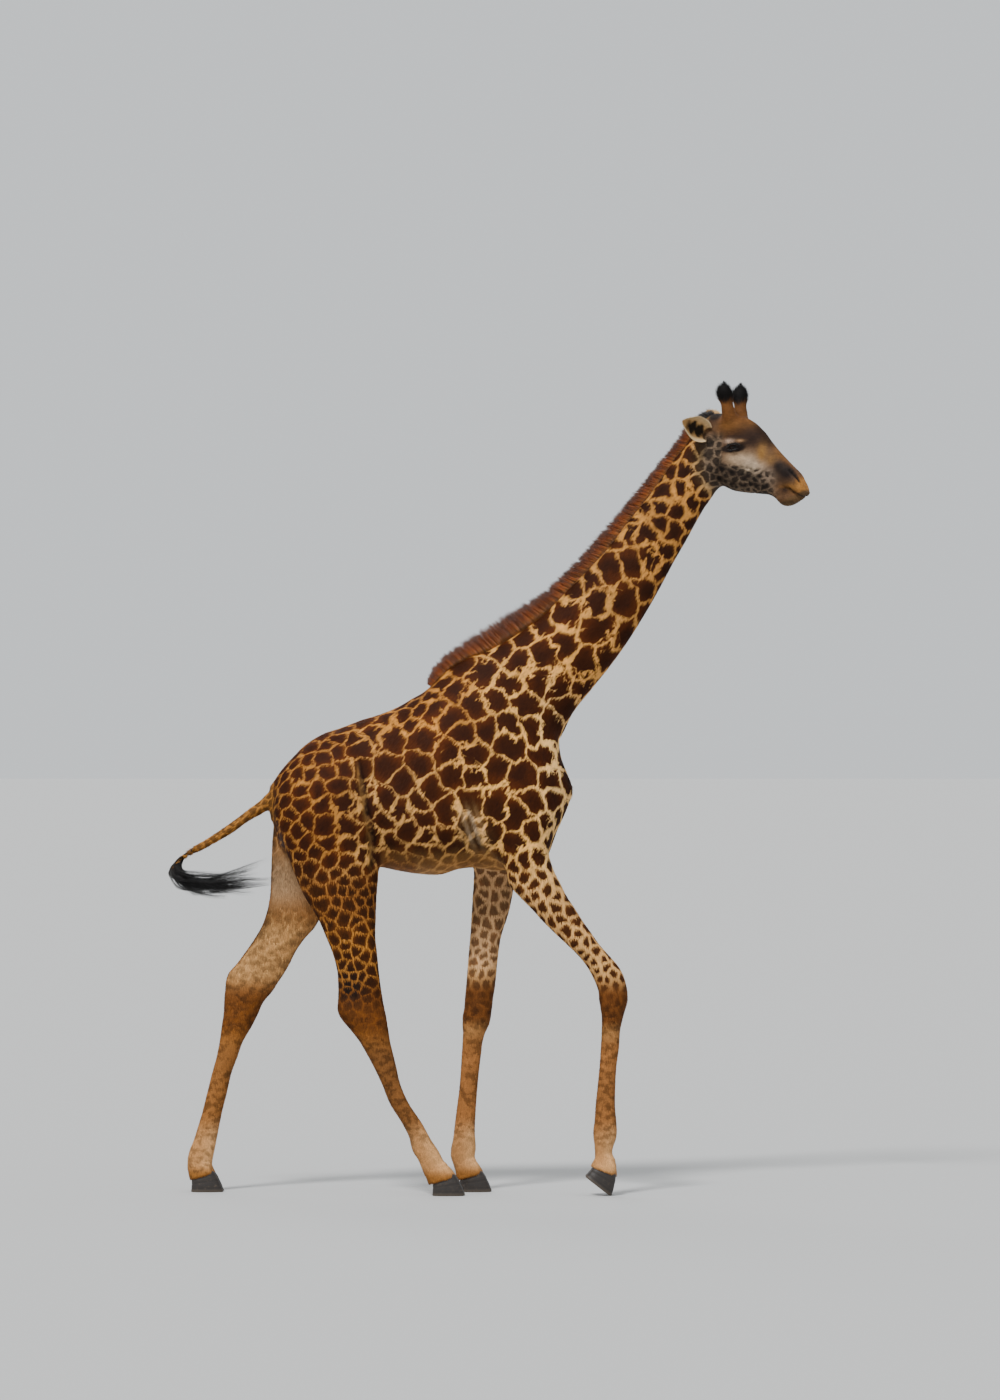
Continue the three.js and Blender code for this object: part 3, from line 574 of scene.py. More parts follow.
EAR_ROWS, EAR_HALF = 30, 20
for base, heading, opening in EARS.values():
    v = np.linspace(-1, 1, EAR_HALF)
    v = np.sin(v * np.pi / 2)
    u, v = np.meshgrid(np.linspace(0.0, 1.0, EAR_ROWS) ** 0.9, v, indexing="ij")
    thick = EAR_WALL * (1 - 0.6 * np.abs(v) ** 2) * (1 - 0.4 * u)
    axes = ear_axes(base, heading, opening)
    leaf = np.concatenate([ear_at(axes, u, v, thick), ear_at(axes, u, v, -thick)[:, ::-1]], 1)
    ear_mesh = mesh_of("ear", leaf.reshape(-1, 3), ring_faces(EAR_ROWS, 2 * EAR_HALF))
    facing_out(ear_mesh)
    ear = linked("ear", ear_mesh)
    joined = skin.modifiers.new("ear", "BOOLEAN")
    joined.operation, joined.object, joined.solver = "UNION", ear, "MANIFOLD"
    result = bpy.data.meshes.new_from_object(skin.evaluated_get(bpy.context.evaluated_depsgraph_get()))
    skin.modifiers.clear()
    skin.data = result
    bpy.data.objects.remove(ear)
skin_mesh = skin.data
skin_mesh.name = "skin"


def on_ears(p):
    """For each point: 1 on an ear, the place along it, from edge to edge, and 1 on the hollow side."""
    out = np.zeros((len(p), 4))
    for base, heading, opening in EARS.values():
        root, *rows = ear_axes(base, heading, opening)
        q = (p - root) @ np.array(rows).T
        near = np.flatnonzero((np.linalg.norm(q - [0.1, 0, 0.02], axis=1) < 0.13) & (q[:, 0] > 0.015))
        if not len(near):
            continue
        u, v = np.meshgrid(np.linspace(0, 1, 50), np.linspace(-1, 1, 50), indexing="ij")
        leaf = ear_at((root, *rows), u, v, np.zeros_like(u)).reshape(-1, 3)
        gap = ((p[near][:, None] - leaf[None]) ** 2).sum(2)
        best = gap.argmin(1)
        close = np.sqrt(gap[np.arange(len(near)), best]) < 0.009
        inward = ear_at((root, *rows), u, v, np.full_like(u, 0.01)).reshape(-1, 3) - leaf
        side = ((p[near] - leaf[best]) * inward[best]).sum(1) > 0
        out[near] = np.where(close[:, None], np.c_[close, u.ravel()[best], v.ravel()[best], side], out[near])
    return out


# ---------------------------------------------------------------------------------------------------
# The markings. Real thing: dark leaf-shaped patches on tan, cream or orange hair, small on legs and
# jaw and none on the shins. The plan gives patch size, line width and colours for any point of the skin,
# and the skin and the hair on it read the same plan.
# ---------------------------------------------------------------------------------------------------
def linear(*srgb):
    """A colour in the shader's numbers, a little richer to stand the studio's light."""
    c = np.array(srgb) / 255
    c = np.where(c < 0.04045, c / 12.92, ((c + 0.055) / 1.055) ** 2.4)
    grey = c @ [0.30, 0.59, 0.11]
    return np.maximum(grey + 1.12 * (c - grey), 0.0004)


def near_spot(q, place, sizes):
    """1 at a place, falling away over the sizes."""
    return np.exp(-0.5 * (((q - np.array(place) / 1000) / (np.array(sizes) / 1000)) ** 2).sum(1))


def mixed(a, b, share):
    """a + (b - a) share, for numbers or for colours."""
    share = share[:, None] if np.ndim(a) > 1 or np.ndim(b) > 0 and np.size(b) == 3 else share
    return a + (b - a) * share


def toned(colour, *rows):
    """The colour, mixed towards each row's tone in turn by the row's share."""
    for tone, share in rows:
        colour = mixed(colour, linear(*tone), share)
    return colour


def regions(p):
    """Soft masks, 0 to 1, of the parts of the body."""
    q, h = p - MIDDLE, in_head(p)
    t = (q - [0, 0, 2.4]) @ NECK_ALONG
    neck = ramp(t, 0.10, 0.45) * ramp(q[:, 0], -0.12, 0.06)
    face = ramp(h[:, 0], -0.06, 0.05) * ramp(h[:, 2], -0.34, -0.26) * (np.abs(h[:, 1]) < 0.3) * ramp(t, 1.5, 1.6)
    fore = (q[:, 0] > -0.42)
    leg = ramp(q[:, 2], 1.74, 1.52)
    return dict(q=q, h=h, t=t, neck=neck * (1 - face), head=face, fore=fore, leg=leg,
                rump=ramp(q[:, 0], -0.62, -0.85) * (1 - leg), joint=np.where(fore, 0.99, 0.93))


# Spots of tone on the face: colour, place ahead, out and up from the poll, sizes in millimetres, strength.
# The last two, thin pale streaks above the eye, are a painted highlight along the upper lid.
FACE_SPOTS = """
166 142 116 232 95 -46 52 400 24 1; 170 150 128 295 80 -86 46 400 30 1; 140 120 104 375 70 -118 36 400 30 0.7
138 102 62 342 70 -18 16 400 30 1; 134 100 64 392 60 -52 22 400 22 0.8; 108 74 44 215 0 150 60 60 28 1
104 70 40 170 70 135 50 60 32 1; 174 148 128 176 100 44 19 30 8 1; 158 122 90 236 95 46 14 30 5 0.8"""
MUZZLE_SPOTS = """
30 21 17 128 0 -91 24 400 17 0.9; 30 21 17 192 0 -112 30 400 17 0.9; 30 21 17 262 0 -134 30 400 13 0.9
30 21 17 108 0 -140 20 400 12 0.9; 30 21 17 186 0 -166 17 400 11 0.9; 30 21 17 240 0 -178 17 400 9 0.9
30 21 17 300 0 -172 19 400 9 0.9; 30 21 17 330 0 -132 15 400 10 0.9; 30 21 17 352 0 -186 16 400 9 0.9
104 72 42 455 40 -30 40 400 16 0.9; 33 24 21 474 50 -116 41 400 36 1; 36 27 23 432 60 -88 26 400 24 0.9
112 78 52 500 0 -62 60 16 40 1"""


def face_tones(p, h, speckled):
    """The face's ground colour; speckled is 1 on the jaw and behind the eye."""
    a, up = h[:, 0], h[:, 2]
    flat_head = np.c_[a, np.abs(h[:, 1]), up]

    def spots(text):
        """Each spot's colour and its share, 1.15 times its strength at its place and falling away."""
        rows = [[float(v) for v in row.split()] for row in text.replace("\n", ";").split(";") if row.strip()]
        return [(row[:3], np.clip(1.15 * row[9] * near_spot(flat_head, row[3:6], row[6:9]), 0, 1)) for row in rows]

    # the dark almond round the eye: the lids' dark skin, and painted shade of the heavy lids and lashes
    almond = np.hypot((a - 0.197) / 0.060, (up - 0.009 - 0.06 * (a - 0.197)) / 0.0245) * (1 + 0.1 * np.sin(40 * a))
    # dark along the grooves of the lips and nostrils: painted shade
    lips = []
    for start, end, _, depth in DRAWN_FORMS:
        if depth > 0 and end[2] > 2.5:
            width = 0.0065 if in_head(start[None])[0, 2] > -0.19 else 0.0045  # wider round the nostrils
            lips.append(((20, 14, 12), np.exp(-0.5 * (to_line(p, start, end) / width) ** 2)))
    poll = np.clip(1.5 * near_spot(flat_head, [70, 0, 175], [40, 60, 45]) * ramp(a, 0.13, 0.10), 0, 1)
    return toned(
        np.tile(linear(92, 68, 50), (len(p), 1)),
        ((42, 27, 19), ramp(up, -0.01, 0.04) * ramp(a, 0.12, 0.19) * ramp(a, 0.48, 0.38)),
        ((130, 90, 56), ramp(a, 0.36, 0.44) * ramp(flat_head[:, 1], 0.045, 0.02)),
        ((102, 86, 71), speckled),
        *spots(FACE_SPOTS),
        ((30, 21, 17), ramp(almond, 1.12, 0.85)),
        *spots(MUZZLE_SPOTS),
        ((162, 112, 64), ramp(a, 0.516, 0.545) * ramp(up, -0.13, -0.16)),
        *spots("160 114 68 500 50 -196 34 400 14 1"),
        ((92, 70, 48), ramp(up - 0.45 * (a - 0.5), -0.225, -0.245) * ramp(a, 0.40, 0.44)),
        # a dark band just under the back of the mouth line: painted shade of the overhanging upper lip
        ((48, 30, 19), near_spot(flat_head, [462, 55, -208], [30, 400, 13])),
        ((44, 32, 24), ramp(up, -0.256, -0.280) * ramp(a, 0.40, 0.44)),
        *lips,
        ((34, 25, 20), poll),
        ((98, 63, 36), ramp(up, 0.12, 0.17) * (1 - poll)),
        ((15, 12, 11), ramp(up + 0.006 * np.sin(90 * a), 0.232, 0.252)),
    )


def coat_plan(p, normal):
    """Patch size, half width of the lines, strength of the marks, and the two colours."""
    r = regions(p)
    q, h, z = r["q"], r["h"], r["q"][:, 2]
    fore, joint = r["fore"], r["joint"]
    wander = (np.sin(9.1 * q[:, 0] + 2.3 * z + 1) * np.sin(7.7 * z - 3.1 * q[:, 1] + 2)
              + 0.6 * np.sin(21 * q[:, 0] - 13 * z) * np.sin(17 * z + 11 * q[:, 1] + 1))

    # how large the patches are, area by area, and how wide the lines between them
    size = 0.132 + 0.016 * ramp(q[:, 0], -0.35, -0.05)
    for wanted, share in (
        (0.092, r["rump"]),
        (0.090, ramp(z, 2.28, 2.46) * (1 - r["neck"]) * ramp(q[:, 0], -0.15, -0.4)),
        (0.150 - 0.070 * ramp(r["t"], 0.6, 1.65), r["neck"]),
        (np.where(fore, 0.070, 0.074), ramp(z, 1.86, 1.58)),
        (np.where(fore, 0.060, 0.056), ramp(z, 1.50, 1.15)),
    ):
        size = mixed(size, wanted + 0 * z, share)
    size = mixed(size * (1 + 0.16 * wander), 0.035 + 0.012 * ramp(h[:, 2], -0.17, -0.08), r["head"])
    line = 0.0046 + 0.0016 * ramp(q[:, 0], -0.5, -0.1) + 0.0008 * r["neck"] - 0.0010 * r["rump"]
    line = mixed(line, np.where(fore, 0.0082, 0.0038), r["leg"])
    line = mixed(line, 0.0058 + 0.0030 * np.sin(31 * h[:, 0] + 7) * np.sin(37 * h[:, 2] + 3), r["head"])
    line = line * (1 + 0.9 * ramp(q[:, 0], 0.14, 0.28) * ramp(z, 2.45, 2.3) * ramp(z, 1.4, 1.6))

    # where the marks fade: on the belly, inside the legs, down the shins and on the face
    belly = ramp(-normal[:, 2], 0.45, 0.92) * ramp(z, 1.80, 1.70) * ramp(z, 1.50, 1.58)
    inner = ramp(normal[:, 1] * -np.sign(q[:, 1]), 0.10, 0.6) * ramp(z, 1.9, 1.6) * (np.abs(q[:, 1]) < 0.3)
    mark = np.ones(len(p))
    for wanted, share in (
        (0.50, belly), (0.80, inner * fore), (0.10, inner * ~fore * ramp(z, 1.34, 1.50)),
        (0.30, inner * ~fore * ramp(z, 1.46, 1.32)),
    ):
        mark = mixed(mark, wanted, share)
    mark = mixed(mark, np.minimum(mark, 0.45), ramp(z, joint + 0.10, joint - 0.02))
    mark = mixed(mark, 0.0, ramp(z, joint - 0.02, joint - 0.22))
    blotch = ramp(z, joint + 0.10, joint - 0.10) * ramp(z, 0.16, 0.34)
    blotch = np.maximum(blotch, 0.9 * inner * ~fore * ramp(z, 1.50, 1.30))
    jaw = ramp(h[:, 2] + 0.14 * (h[:, 0] - 0.15), -0.055, -0.085) * ramp(h[:, 0], 0.44, 0.36)
    behind = ramp(h[:, 0], 0.150, 0.120) * ramp(h[:, 2], 0.11, 0.05)
    mark = mixed(mark, 0.85 * np.maximum(jaw, behind), r["head"])
    blotch = mixed(blotch, 0.35 + 0.65 * np.maximum(jaw, behind), r["head"])
    tail = ramp(q[:, 0], -1.12, -1.16) * ramp(z, 1.55, 1.62)
    size, mark = mixed(size, 0.042 + 0 * z, tail), mixed(mark, 0.75, tail)

    # the ground between the patches, then the patches
    back = ramp(z, 2.0, 2.4) * ramp(q[:, 0], 0.15, -0.2)
    chest, hind, shin = ramp(q[:, 0], 0.12, 0.3), ~fore, ramp(z, joint - 0.10, joint - 0.24)
    fold = np.exp(-0.5 * (to_line(q, np.array([-0.155, -0.25, 1.91]), np.array([-0.075, -0.24, 1.67])) / 0.036) ** 2)
    fold = np.clip(fold * (0.65 + 0.5 * np.sin(150 * q[:, 0] + 55 * z)), 0, 0.9)
    ground = toned(
        np.tile(linear(200, 152, 96), (len(p), 1)),
        ((186, 128, 70), back),
        ((174, 120, 66), r["rump"]),
        ((232, 178, 110), ramp(q[:, 0], -0.35, -0.05) * (1 - r["neck"]) * (1 - 0.85 * back)),
        ((222, 163, 97), r["neck"] * ramp(r["t"], 1.1, 0.3)),
        ((180, 128, 74), r["neck"] * ramp(r["t"], 0.35, 1.15)),
        ((238, 194, 134), chest * (1 - r["neck"]) * ramp(z, 1.4, 1.6)),
        ((142, 98, 58), belly),
        ((212, 164, 110), r["leg"] * fore),
        ((153, 101, 56), r["leg"] * hind),
        ((186, 148, 110), inner * fore * ramp(z, 1.0, 1.2)),
        ((158, 128, 98), inner * hind * ramp(z, 1.34, 1.56)),
        ((206, 158, 108), inner * hind * ramp(z, 1.5, 1.3) * ramp(z, 0.95, 1.1)),
        ((178, 122, 66), hind * (1 - inner) * ramp(z, 1.50, 1.25) * ramp(z, 1.0, 1.12)),
        ((188, 164, 138), fold),
        ((98, 54, 24), np.where(fore, 0.95, 0.80) * ramp(np.abs(z - joint + 0.04 * fore), 0.20, 0.06)),
        ((150, 101, 62), shin * fore),
        ((126, 84, 50), shin * hind * (q[:, 1] < 0)),
        ((146, 98, 58), shin * hind * (q[:, 1] >= 0)),
        ((214, 164, 116), ramp(z, 0.40, 0.26) * (0.45 + 0.55 * ramp(normal[:, 0], -0.3, 0.6))),
        ((140, 94, 52), ramp(z, 0.15, 0.09)),
    )
    mark = mark * (1 - 0.5 * fold)
    patch = toned(
        np.tile(linear(70, 33, 12), (len(p), 1)),
        ((60, 30, 14), r["neck"] * ramp(r["t"], 0.5, 1.4)),
        ((88, 50, 25), r["leg"] * fore),
        ((74, 40, 17), r["leg"] * hind),
        ((128, 82, 46), inner * hind),
        ((60, 38, 22), tail),
        ((36, 26, 20), fold),
    )

    # darker in the creases: partly the look of their thinner hair, and partly painted shade
    crease = np.zeros(len(p))
    for start, end, width, depth in DRAWN_FORMS:
        if depth > 0 and 1.6 < end[2] < 2.5:
            near = np.exp(-0.5 * (to_line(p, start, end) / (1.1 * width)) ** 2)
            crease = np.maximum(crease, min(depth / 0.022, 1) * near)
    ground = toned(ground, ((34, 20, 12), np.clip(1.3 * crease, 0, 0.97)))
    patch = toned(patch, ((20, 12, 8), 0.9 * crease), ((34, 24, 19), near_spot(q, [-748, -190, 1035], [45, 60, 70])))

    # the thigh's edge: a pale rim behind its fold, and painted shade on the flank before it
    past = q[:, 0] - np.interp(z, [1.667, 1.804, 1.92, 2.103, 2.179], [-0.640, -0.639, -0.665, -0.697, -0.706])
    there = ramp(z, 1.63, 1.70) * ramp(z, 2.20, 2.08) * (q[:, 1] < -0.12)
    mark = mark * (1 - 0.85 * np.exp(-0.5 * ((past + 0.010) / 0.0045) ** 2) * there)
    shade = ramp(past, -0.006, 0.003) * ramp(past, 0.036, 0.009) * there
    ground, patch = mixed(ground, 0.30 * ground, 0.8 * shade), mixed(patch, 0.45 * patch, 0.8 * shade)

    # the face and the ears
    ground = mixed(ground, face_tones(p, h, np.maximum(jaw, behind)), r["head"])
    patch = mixed(patch, linear(34, 26, 21), r["head"])
    mark = mark * (1 - ramp(h[:, 2], 0.13, 0.16) * r["head"])

    ears = on_ears(p)
    on, v, hollow = ears[:, 0], np.abs(ears[:, 2]), ears[:, 3]
    leaf = toned(
        np.tile(linear(176, 140, 98), (len(p), 1)),
        ((206, 178, 138), hollow * ramp(v, 0.35, 0.8)),
        ((32, 24, 18), hollow * ramp(v + 0.12 * np.sin(23 * ears[:, 1]), 0.46, 0.28) * ramp(ears[:, 1], 0.86, 0.62)),
        ((222, 196, 158), ramp(v, 0.86, 0.97)),
        ((96, 66, 42), (1 - hollow) * ramp(ears[:, 1], 0.55, 0.15) * ramp(v, 0.7, 0.3)),
    )
    ground = mixed(ground, leaf, on)
    mark, blotch = mark * (1 - on), blotch * (1 - on)
    return size, line, mark, ground, patch, blotch, crease


def hair_lie(p, normal):
    """Which way the hair lies: down the neck, back along the body, down the legs and up the horns."""
    r = regions(p)
    q, h = r["q"], r["h"]
    way = np.tile([-0.92, 0, -0.4], (len(p), 1))
    way[:, 2] -= 0.9 * ramp(np.abs(normal[:, 1]), 0.3, 0.9)
    for wanted, share in (
        (-NECK_ALONG, r["neck"]),
        (np.array([0.05, 0, -1]), ramp(q[:, 2], 1.80, 1.55)),
        (np.array([-0.75, 0, -0.6]), ramp(q[:, 0], -1.10, -1.16) * ramp(q[:, 2], 1.5, 1.6)),
        (np.array([-0.86, 0, -0.1]) @ HEAD_AXES, r["head"]),
        (np.array([-0.1, 0, 1.0]), ramp(h[:, 2], 0.15, 0.19) * r["head"]),
    ):
        way = mixed(way, wanted, share)
    way = way - normal * (way * normal).sum(1)[:, None]
    return way / np.maximum(np.linalg.norm(way, axis=1), 1e-6)[:, None]


# A middle for every patch is spread over the skin at the local patch size and evened out. Each face keeps
# its four nearest middles, from which the material works out where the lines between patches run.
def patch_middles(p, size, seed):
    """Points of the skin, no two nearer than 0.74 of the patch size, each then moved towards its patch's middle."""
    rng = np.random.default_rng(seed)
    free = np.ones(len(p), bool)
    chosen = []
    for i in rng.permutation(len(p)):
        if free[i]:
            chosen.append(i)
            free[np.linalg.norm(p - p[i], axis=1) < 0.74 * size[i]] = False
    middles = p[chosen]
    nearest = nearest_middles(p, middles, 1)[:, 0]
    total, count = np.zeros_like(middles), np.zeros(len(middles))
    np.add.at(total, nearest, p)
    np.add.at(count, nearest, 1)
    moved = np.where(count[:, None] > 0, total / np.maximum(count, 1)[:, None], middles)
    return middles + 0.45 * (moved - middles)


def nearest_middles(p, middles, count):
    """Numbers of each point's nearest middles, nearest first."""
    out = []
    for part in np.array_split(p.astype(np.float32), max(1, len(p) // 4000)):
        far = (part ** 2).sum(1)[:, None] - 2 * part @ middles.T.astype(np.float32) + (middles ** 2).sum(1)
        pick = np.argpartition(far, count, axis=1)[:, :count]
        order = np.argsort(np.take_along_axis(far, pick, 1), axis=1)
        out.append(np.take_along_axis(pick, order, 1))
    return np.concatenate(out)


def keep(mesh, name, values, domain="POINT"):
    """Keeps a number or a triple for every vertex or face, for the material to read."""
    kind, field = ("FLOAT", "value") if np.ndim(values) == 1 else ("FLOAT_VECTOR", "vector")
    layer = mesh.attributes.new(name, kind, domain)
    layer.data.foreach_set(field, np.ascontiguousarray(values, np.float32).ravel())


points, normals = read(skin_mesh.vertices, "co"), read(skin_mesh.vertices, "normal")
size, line, mark, ground, patch, blotch, crease = coat_plan(points, normals)
MIDDLES = patch_middles(points, size, 7)
FACE_MARKS = MIDDLES[nearest_middles(read(skin_mesh.polygons, "center"), MIDDLES, 4)]
for name, values in (("root", points), ("patch_size", size), ("line_half", line), ("mark", mark),
                     ("ground", ground), ("patch", patch), ("blotch", blotch)):
    keep(skin_mesh, name, values)
for i in range(4):
    keep(skin_mesh, f"middle_{i}", FACE_MARKS[:, i], "FACE")


# The hide and coat's material: the same for the skin and for the tufts, which keep their root's values.
class Nodes:
    """Short names for making a material's nodes and joining them."""

    def __init__(self, name):
        self.material = bpy.data.materials.new(name)
        self.material.use_nodes = True
        self.tree = self.material.node_tree
        self.shader = self.tree.nodes["Principled BSDF"]

    def node(self, kind, inputs=(), **settings):
        made = self.tree.nodes.new(kind)
        for key, value in settings.items():
            setattr(made, key, value)
        for key, value in dict(inputs).items():
            if isinstance(value, bpy.types.NodeSocket):
                self.tree.links.new(value, made.inputs[key])
            else:
                made.inputs[key].default_value = value
        return made

    def math(self, operation, a, b=0.0):
        return self.node("ShaderNodeMath", {0: a, 1: b}, operation=operation).outputs[0]

    def vector(self, operation, a, b):
        made = self.node("ShaderNodeVectorMath", {0: a, 1: b}, operation=operation)
        return made.outputs["Value" if operation in ("DOT_PRODUCT", "DISTANCE") else "Vector"]

    def scaled(self, a, factor):
        return self.node("ShaderNodeVectorMath", {0: a, "Scale": factor}, operation="SCALE").outputs["Vector"]

    def number(self, name):
        return self.node("ShaderNodeAttribute", attribute_name=name).outputs["Fac"]

    def triple(self, name):
        return self.node("ShaderNodeAttribute", attribute_name=name).outputs["Vector"]

    def noise(self, at, scale, detail=2.0, rough=0.5):
        return self.node("ShaderNodeTexNoise", {"Vector": at, "Scale": scale, "Detail": detail, "Roughness": rough})

    def smooth(self, value, start, end, low=0.0, high=1.0):
        return self.node("ShaderNodeMapRange", {0: value, 1: start, 2: end, 3: low, 4: high},
                         interpolation_type="SMOOTHSTEP").outputs[0]

    def mix(self, share, a, b):
        made = self.node("ShaderNodeMix", data_type="RGBA")
        for key, value in ((0, share), (6, a), (7, b)):
            if isinstance(value, bpy.types.NodeSocket):
                self.tree.links.new(value, made.inputs[key])
            else:
                made.inputs[key].default_value = value if key == 0 else (*value, 1.0)[:4]
        return made.outputs[2]

    def bump(self, height, strength, distance):
        inputs = {"Height": height, "Strength": strength, "Distance": distance}
        return self.node("ShaderNodeBump", inputs).outputs[0]

    def to(self, key, value):
        if isinstance(value, bpy.types.NodeSocket):
            self.tree.links.new(value, self.shader.inputs[key])
        else:
            self.shader.inputs[key].default_value = value


def coat_material(name, tufts):
    """Patches and lines from each point's four nearest middles. A point lies (distance to B squared -
    distance to A squared) / (2 times A to B) on A's side of the line half way between middles A and B. The
    least of A's three is the depth in A's patch, and the greatest of the four depths is the point's own."""
    m = Nodes(name)
    root = m.triple("root")
    size = m.number("patch_size")
    broad = m.noise(root, 11.0, 1.0).outputs["Color"]
    fine = m.noise(root, 34.0, 2.0).outputs["Color"]
    stray = m.vector("ADD", m.scaled(m.vector("SUBTRACT", broad, (0.5, 0.5, 0.5)), m.math("MULTIPLY", size, 0.70)),
                     m.scaled(m.vector("SUBTRACT", fine, (0.5, 0.5, 0.5)), m.math("MULTIPLY", size, 0.24)))
    at = m.vector("ADD", root, stray)
    middles = [m.triple(f"middle_{i}") for i in range(4)]
    squares = []
    for middle in middles:
        gap = m.vector("SUBTRACT", at, middle)
        squares.append(m.vector("DOT_PRODUCT", gap, gap))
    share = {}
    for i in range(4):
        for j in range(i + 1, 4):
            apart = m.math("MULTIPLY", m.vector("DISTANCE", middles[i], middles[j]), 2.0)
            share[i, j] = m.math("DIVIDE", m.math("SUBTRACT", squares[j], squares[i]), apart)
            share[j, i] = m.math("MULTIPLY", share[i, j], -1.0)
    depths = []
    for i in range(4):
        a, b, c = [share[i, j] for j in range(4) if j != i]
        depths.append(m.math("MINIMUM", m.math("MINIMUM", a, b), c))
    depth = m.math("MAXIMUM", m.math("MAXIMUM", depths[0], depths[1]), m.math("MAXIMUM", depths[2], depths[3]))
    inmost = m.math("MINIMUM", m.math("MINIMUM", squares[0], squares[1]), m.math("MINIMUM", squares[2], squares[3]))
    nearness = m.math("DIVIDE", m.math("SQRT", inmost), size)

    # slits run in from a patch's edge, and the edge itself is ragged
    cells = m.node("ShaderNodeTexVoronoi", {"Vector": at, "Scale": 13.0}, feature="DISTANCE_TO_EDGE")
    slit = m.math("SUBTRACT", 0.030, m.math("MULTIPLY", cells.outputs["Distance"], 0.36))
    slit = m.math("MAXIMUM", slit, 0.0)
    slit = m.math("MULTIPLY", slit, m.smooth(m.noise(root, 7.0, 1.0).outputs["Fac"], 0.44, 0.60))
    slit = m.math("MULTIPLY", slit, m.smooth(size, 0.07, 0.12))
    ragged = m.math("MULTIPLY", m.math("SUBTRACT", m.noise(root, 80.0, 2.0, 0.6).outputs["Fac"], 0.5), 0.012)
    edge = m.math("SUBTRACT", m.math("SUBTRACT", m.math("ADD", depth, ragged), slit), m.number("line_half"))
    inside = m.smooth(edge, -0.0015, 0.0025)
    inside = m.math("MULTIPLY", inside, m.number("mark"))

    tone = m.noise(root, 5.0, 2.0).outputs["Fac"]
    hair = m.noise(root, 260.0, 2.0, 0.6).outputs["Fac"]
    dark = m.mix(m.smooth(nearness, 0.15, 0.62), m.scaled(m.triple("patch"), 0.52), m.scaled(m.triple("patch"), 1.30))
    pale = m.mix(m.smooth(edge, -0.012, 0.0), m.scaled(m.triple("ground"), 1.16), m.scaled(m.triple("ground"), 0.92))
    colour = m.mix(inside, pale, dark)
    spots = m.noise(m.vector("MULTIPLY", root, (0.7, 0.7, 1.2)), 34.0, 3.0, 0.6).outputs["Fac"]
    spots = m.math("MULTIPLY", m.smooth(spots, 0.47, 0.58), m.number("blotch"))
    colour = m.mix(spots, colour, m.scaled(colour, 0.50))
    colour = m.mix(m.smooth(tone, 0.3, 0.7), m.scaled(colour, 0.88), m.scaled(colour, 1.12))
    colour = m.mix(m.smooth(hair, 0.3, 0.7), m.scaled(colour, 0.78), m.scaled(colour, 1.22))
    if tufts:
        colour = m.mix(m.number("shade"), m.scaled(colour, 0.72), m.scaled(colour, 1.2))
    m.to("Base Color", colour)
    m.to("Roughness", 0.66)
    m.to("Specular IOR Level", 0.12)
    if not tufts:
        grain = m.noise(root, 420.0, 3.0, 0.7).outputs["Fac"]
        m.to("Normal", m.bump(grain, 0.5, 0.003))
    return m.material


def all_smooth(mesh):
    """Shades every face of the mesh smooth."""
    mesh.polygons.foreach_set("use_smooth", np.ones(len(mesh.polygons), bool))


def finished(piece, slot, material, *nodes):
    """Gives a piece its material and the body it rides, and hides the solids it stands for; its slot is not used."""
    piece.data.materials.append(material)
    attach(piece, "root")
    if nodes:
        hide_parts(*nodes)


FLESH = ["trunk", "neck", "head", "tail"] + [
    f"{part}_{side}" for part in ("ossicone", "ear", "fore_leg", "fore_cannon", "hind_leg", "hind_cannon")
    for side in ("right", "left")]
skin_mesh.materials.clear()
all_smooth(skin_mesh)
finished(skin, "hide", coat_material("short_hair_on_hide", False), *FLESH)


# ---------------------------------------------------------------------------------------------------
# The coat. Real thing: short stiff hair that lies along the body, shortest on face and feet. Every lock is
# a thin closed body that tapers to a point; it is rooted in the skin, lies along it and keeps the markings
# of its root, so the coat shows the same pattern as the skin.
# ---------------------------------------------------------------------------------------------------
LOCK_ON_MAP = 0.003  # how much of the UV map one lock takes up


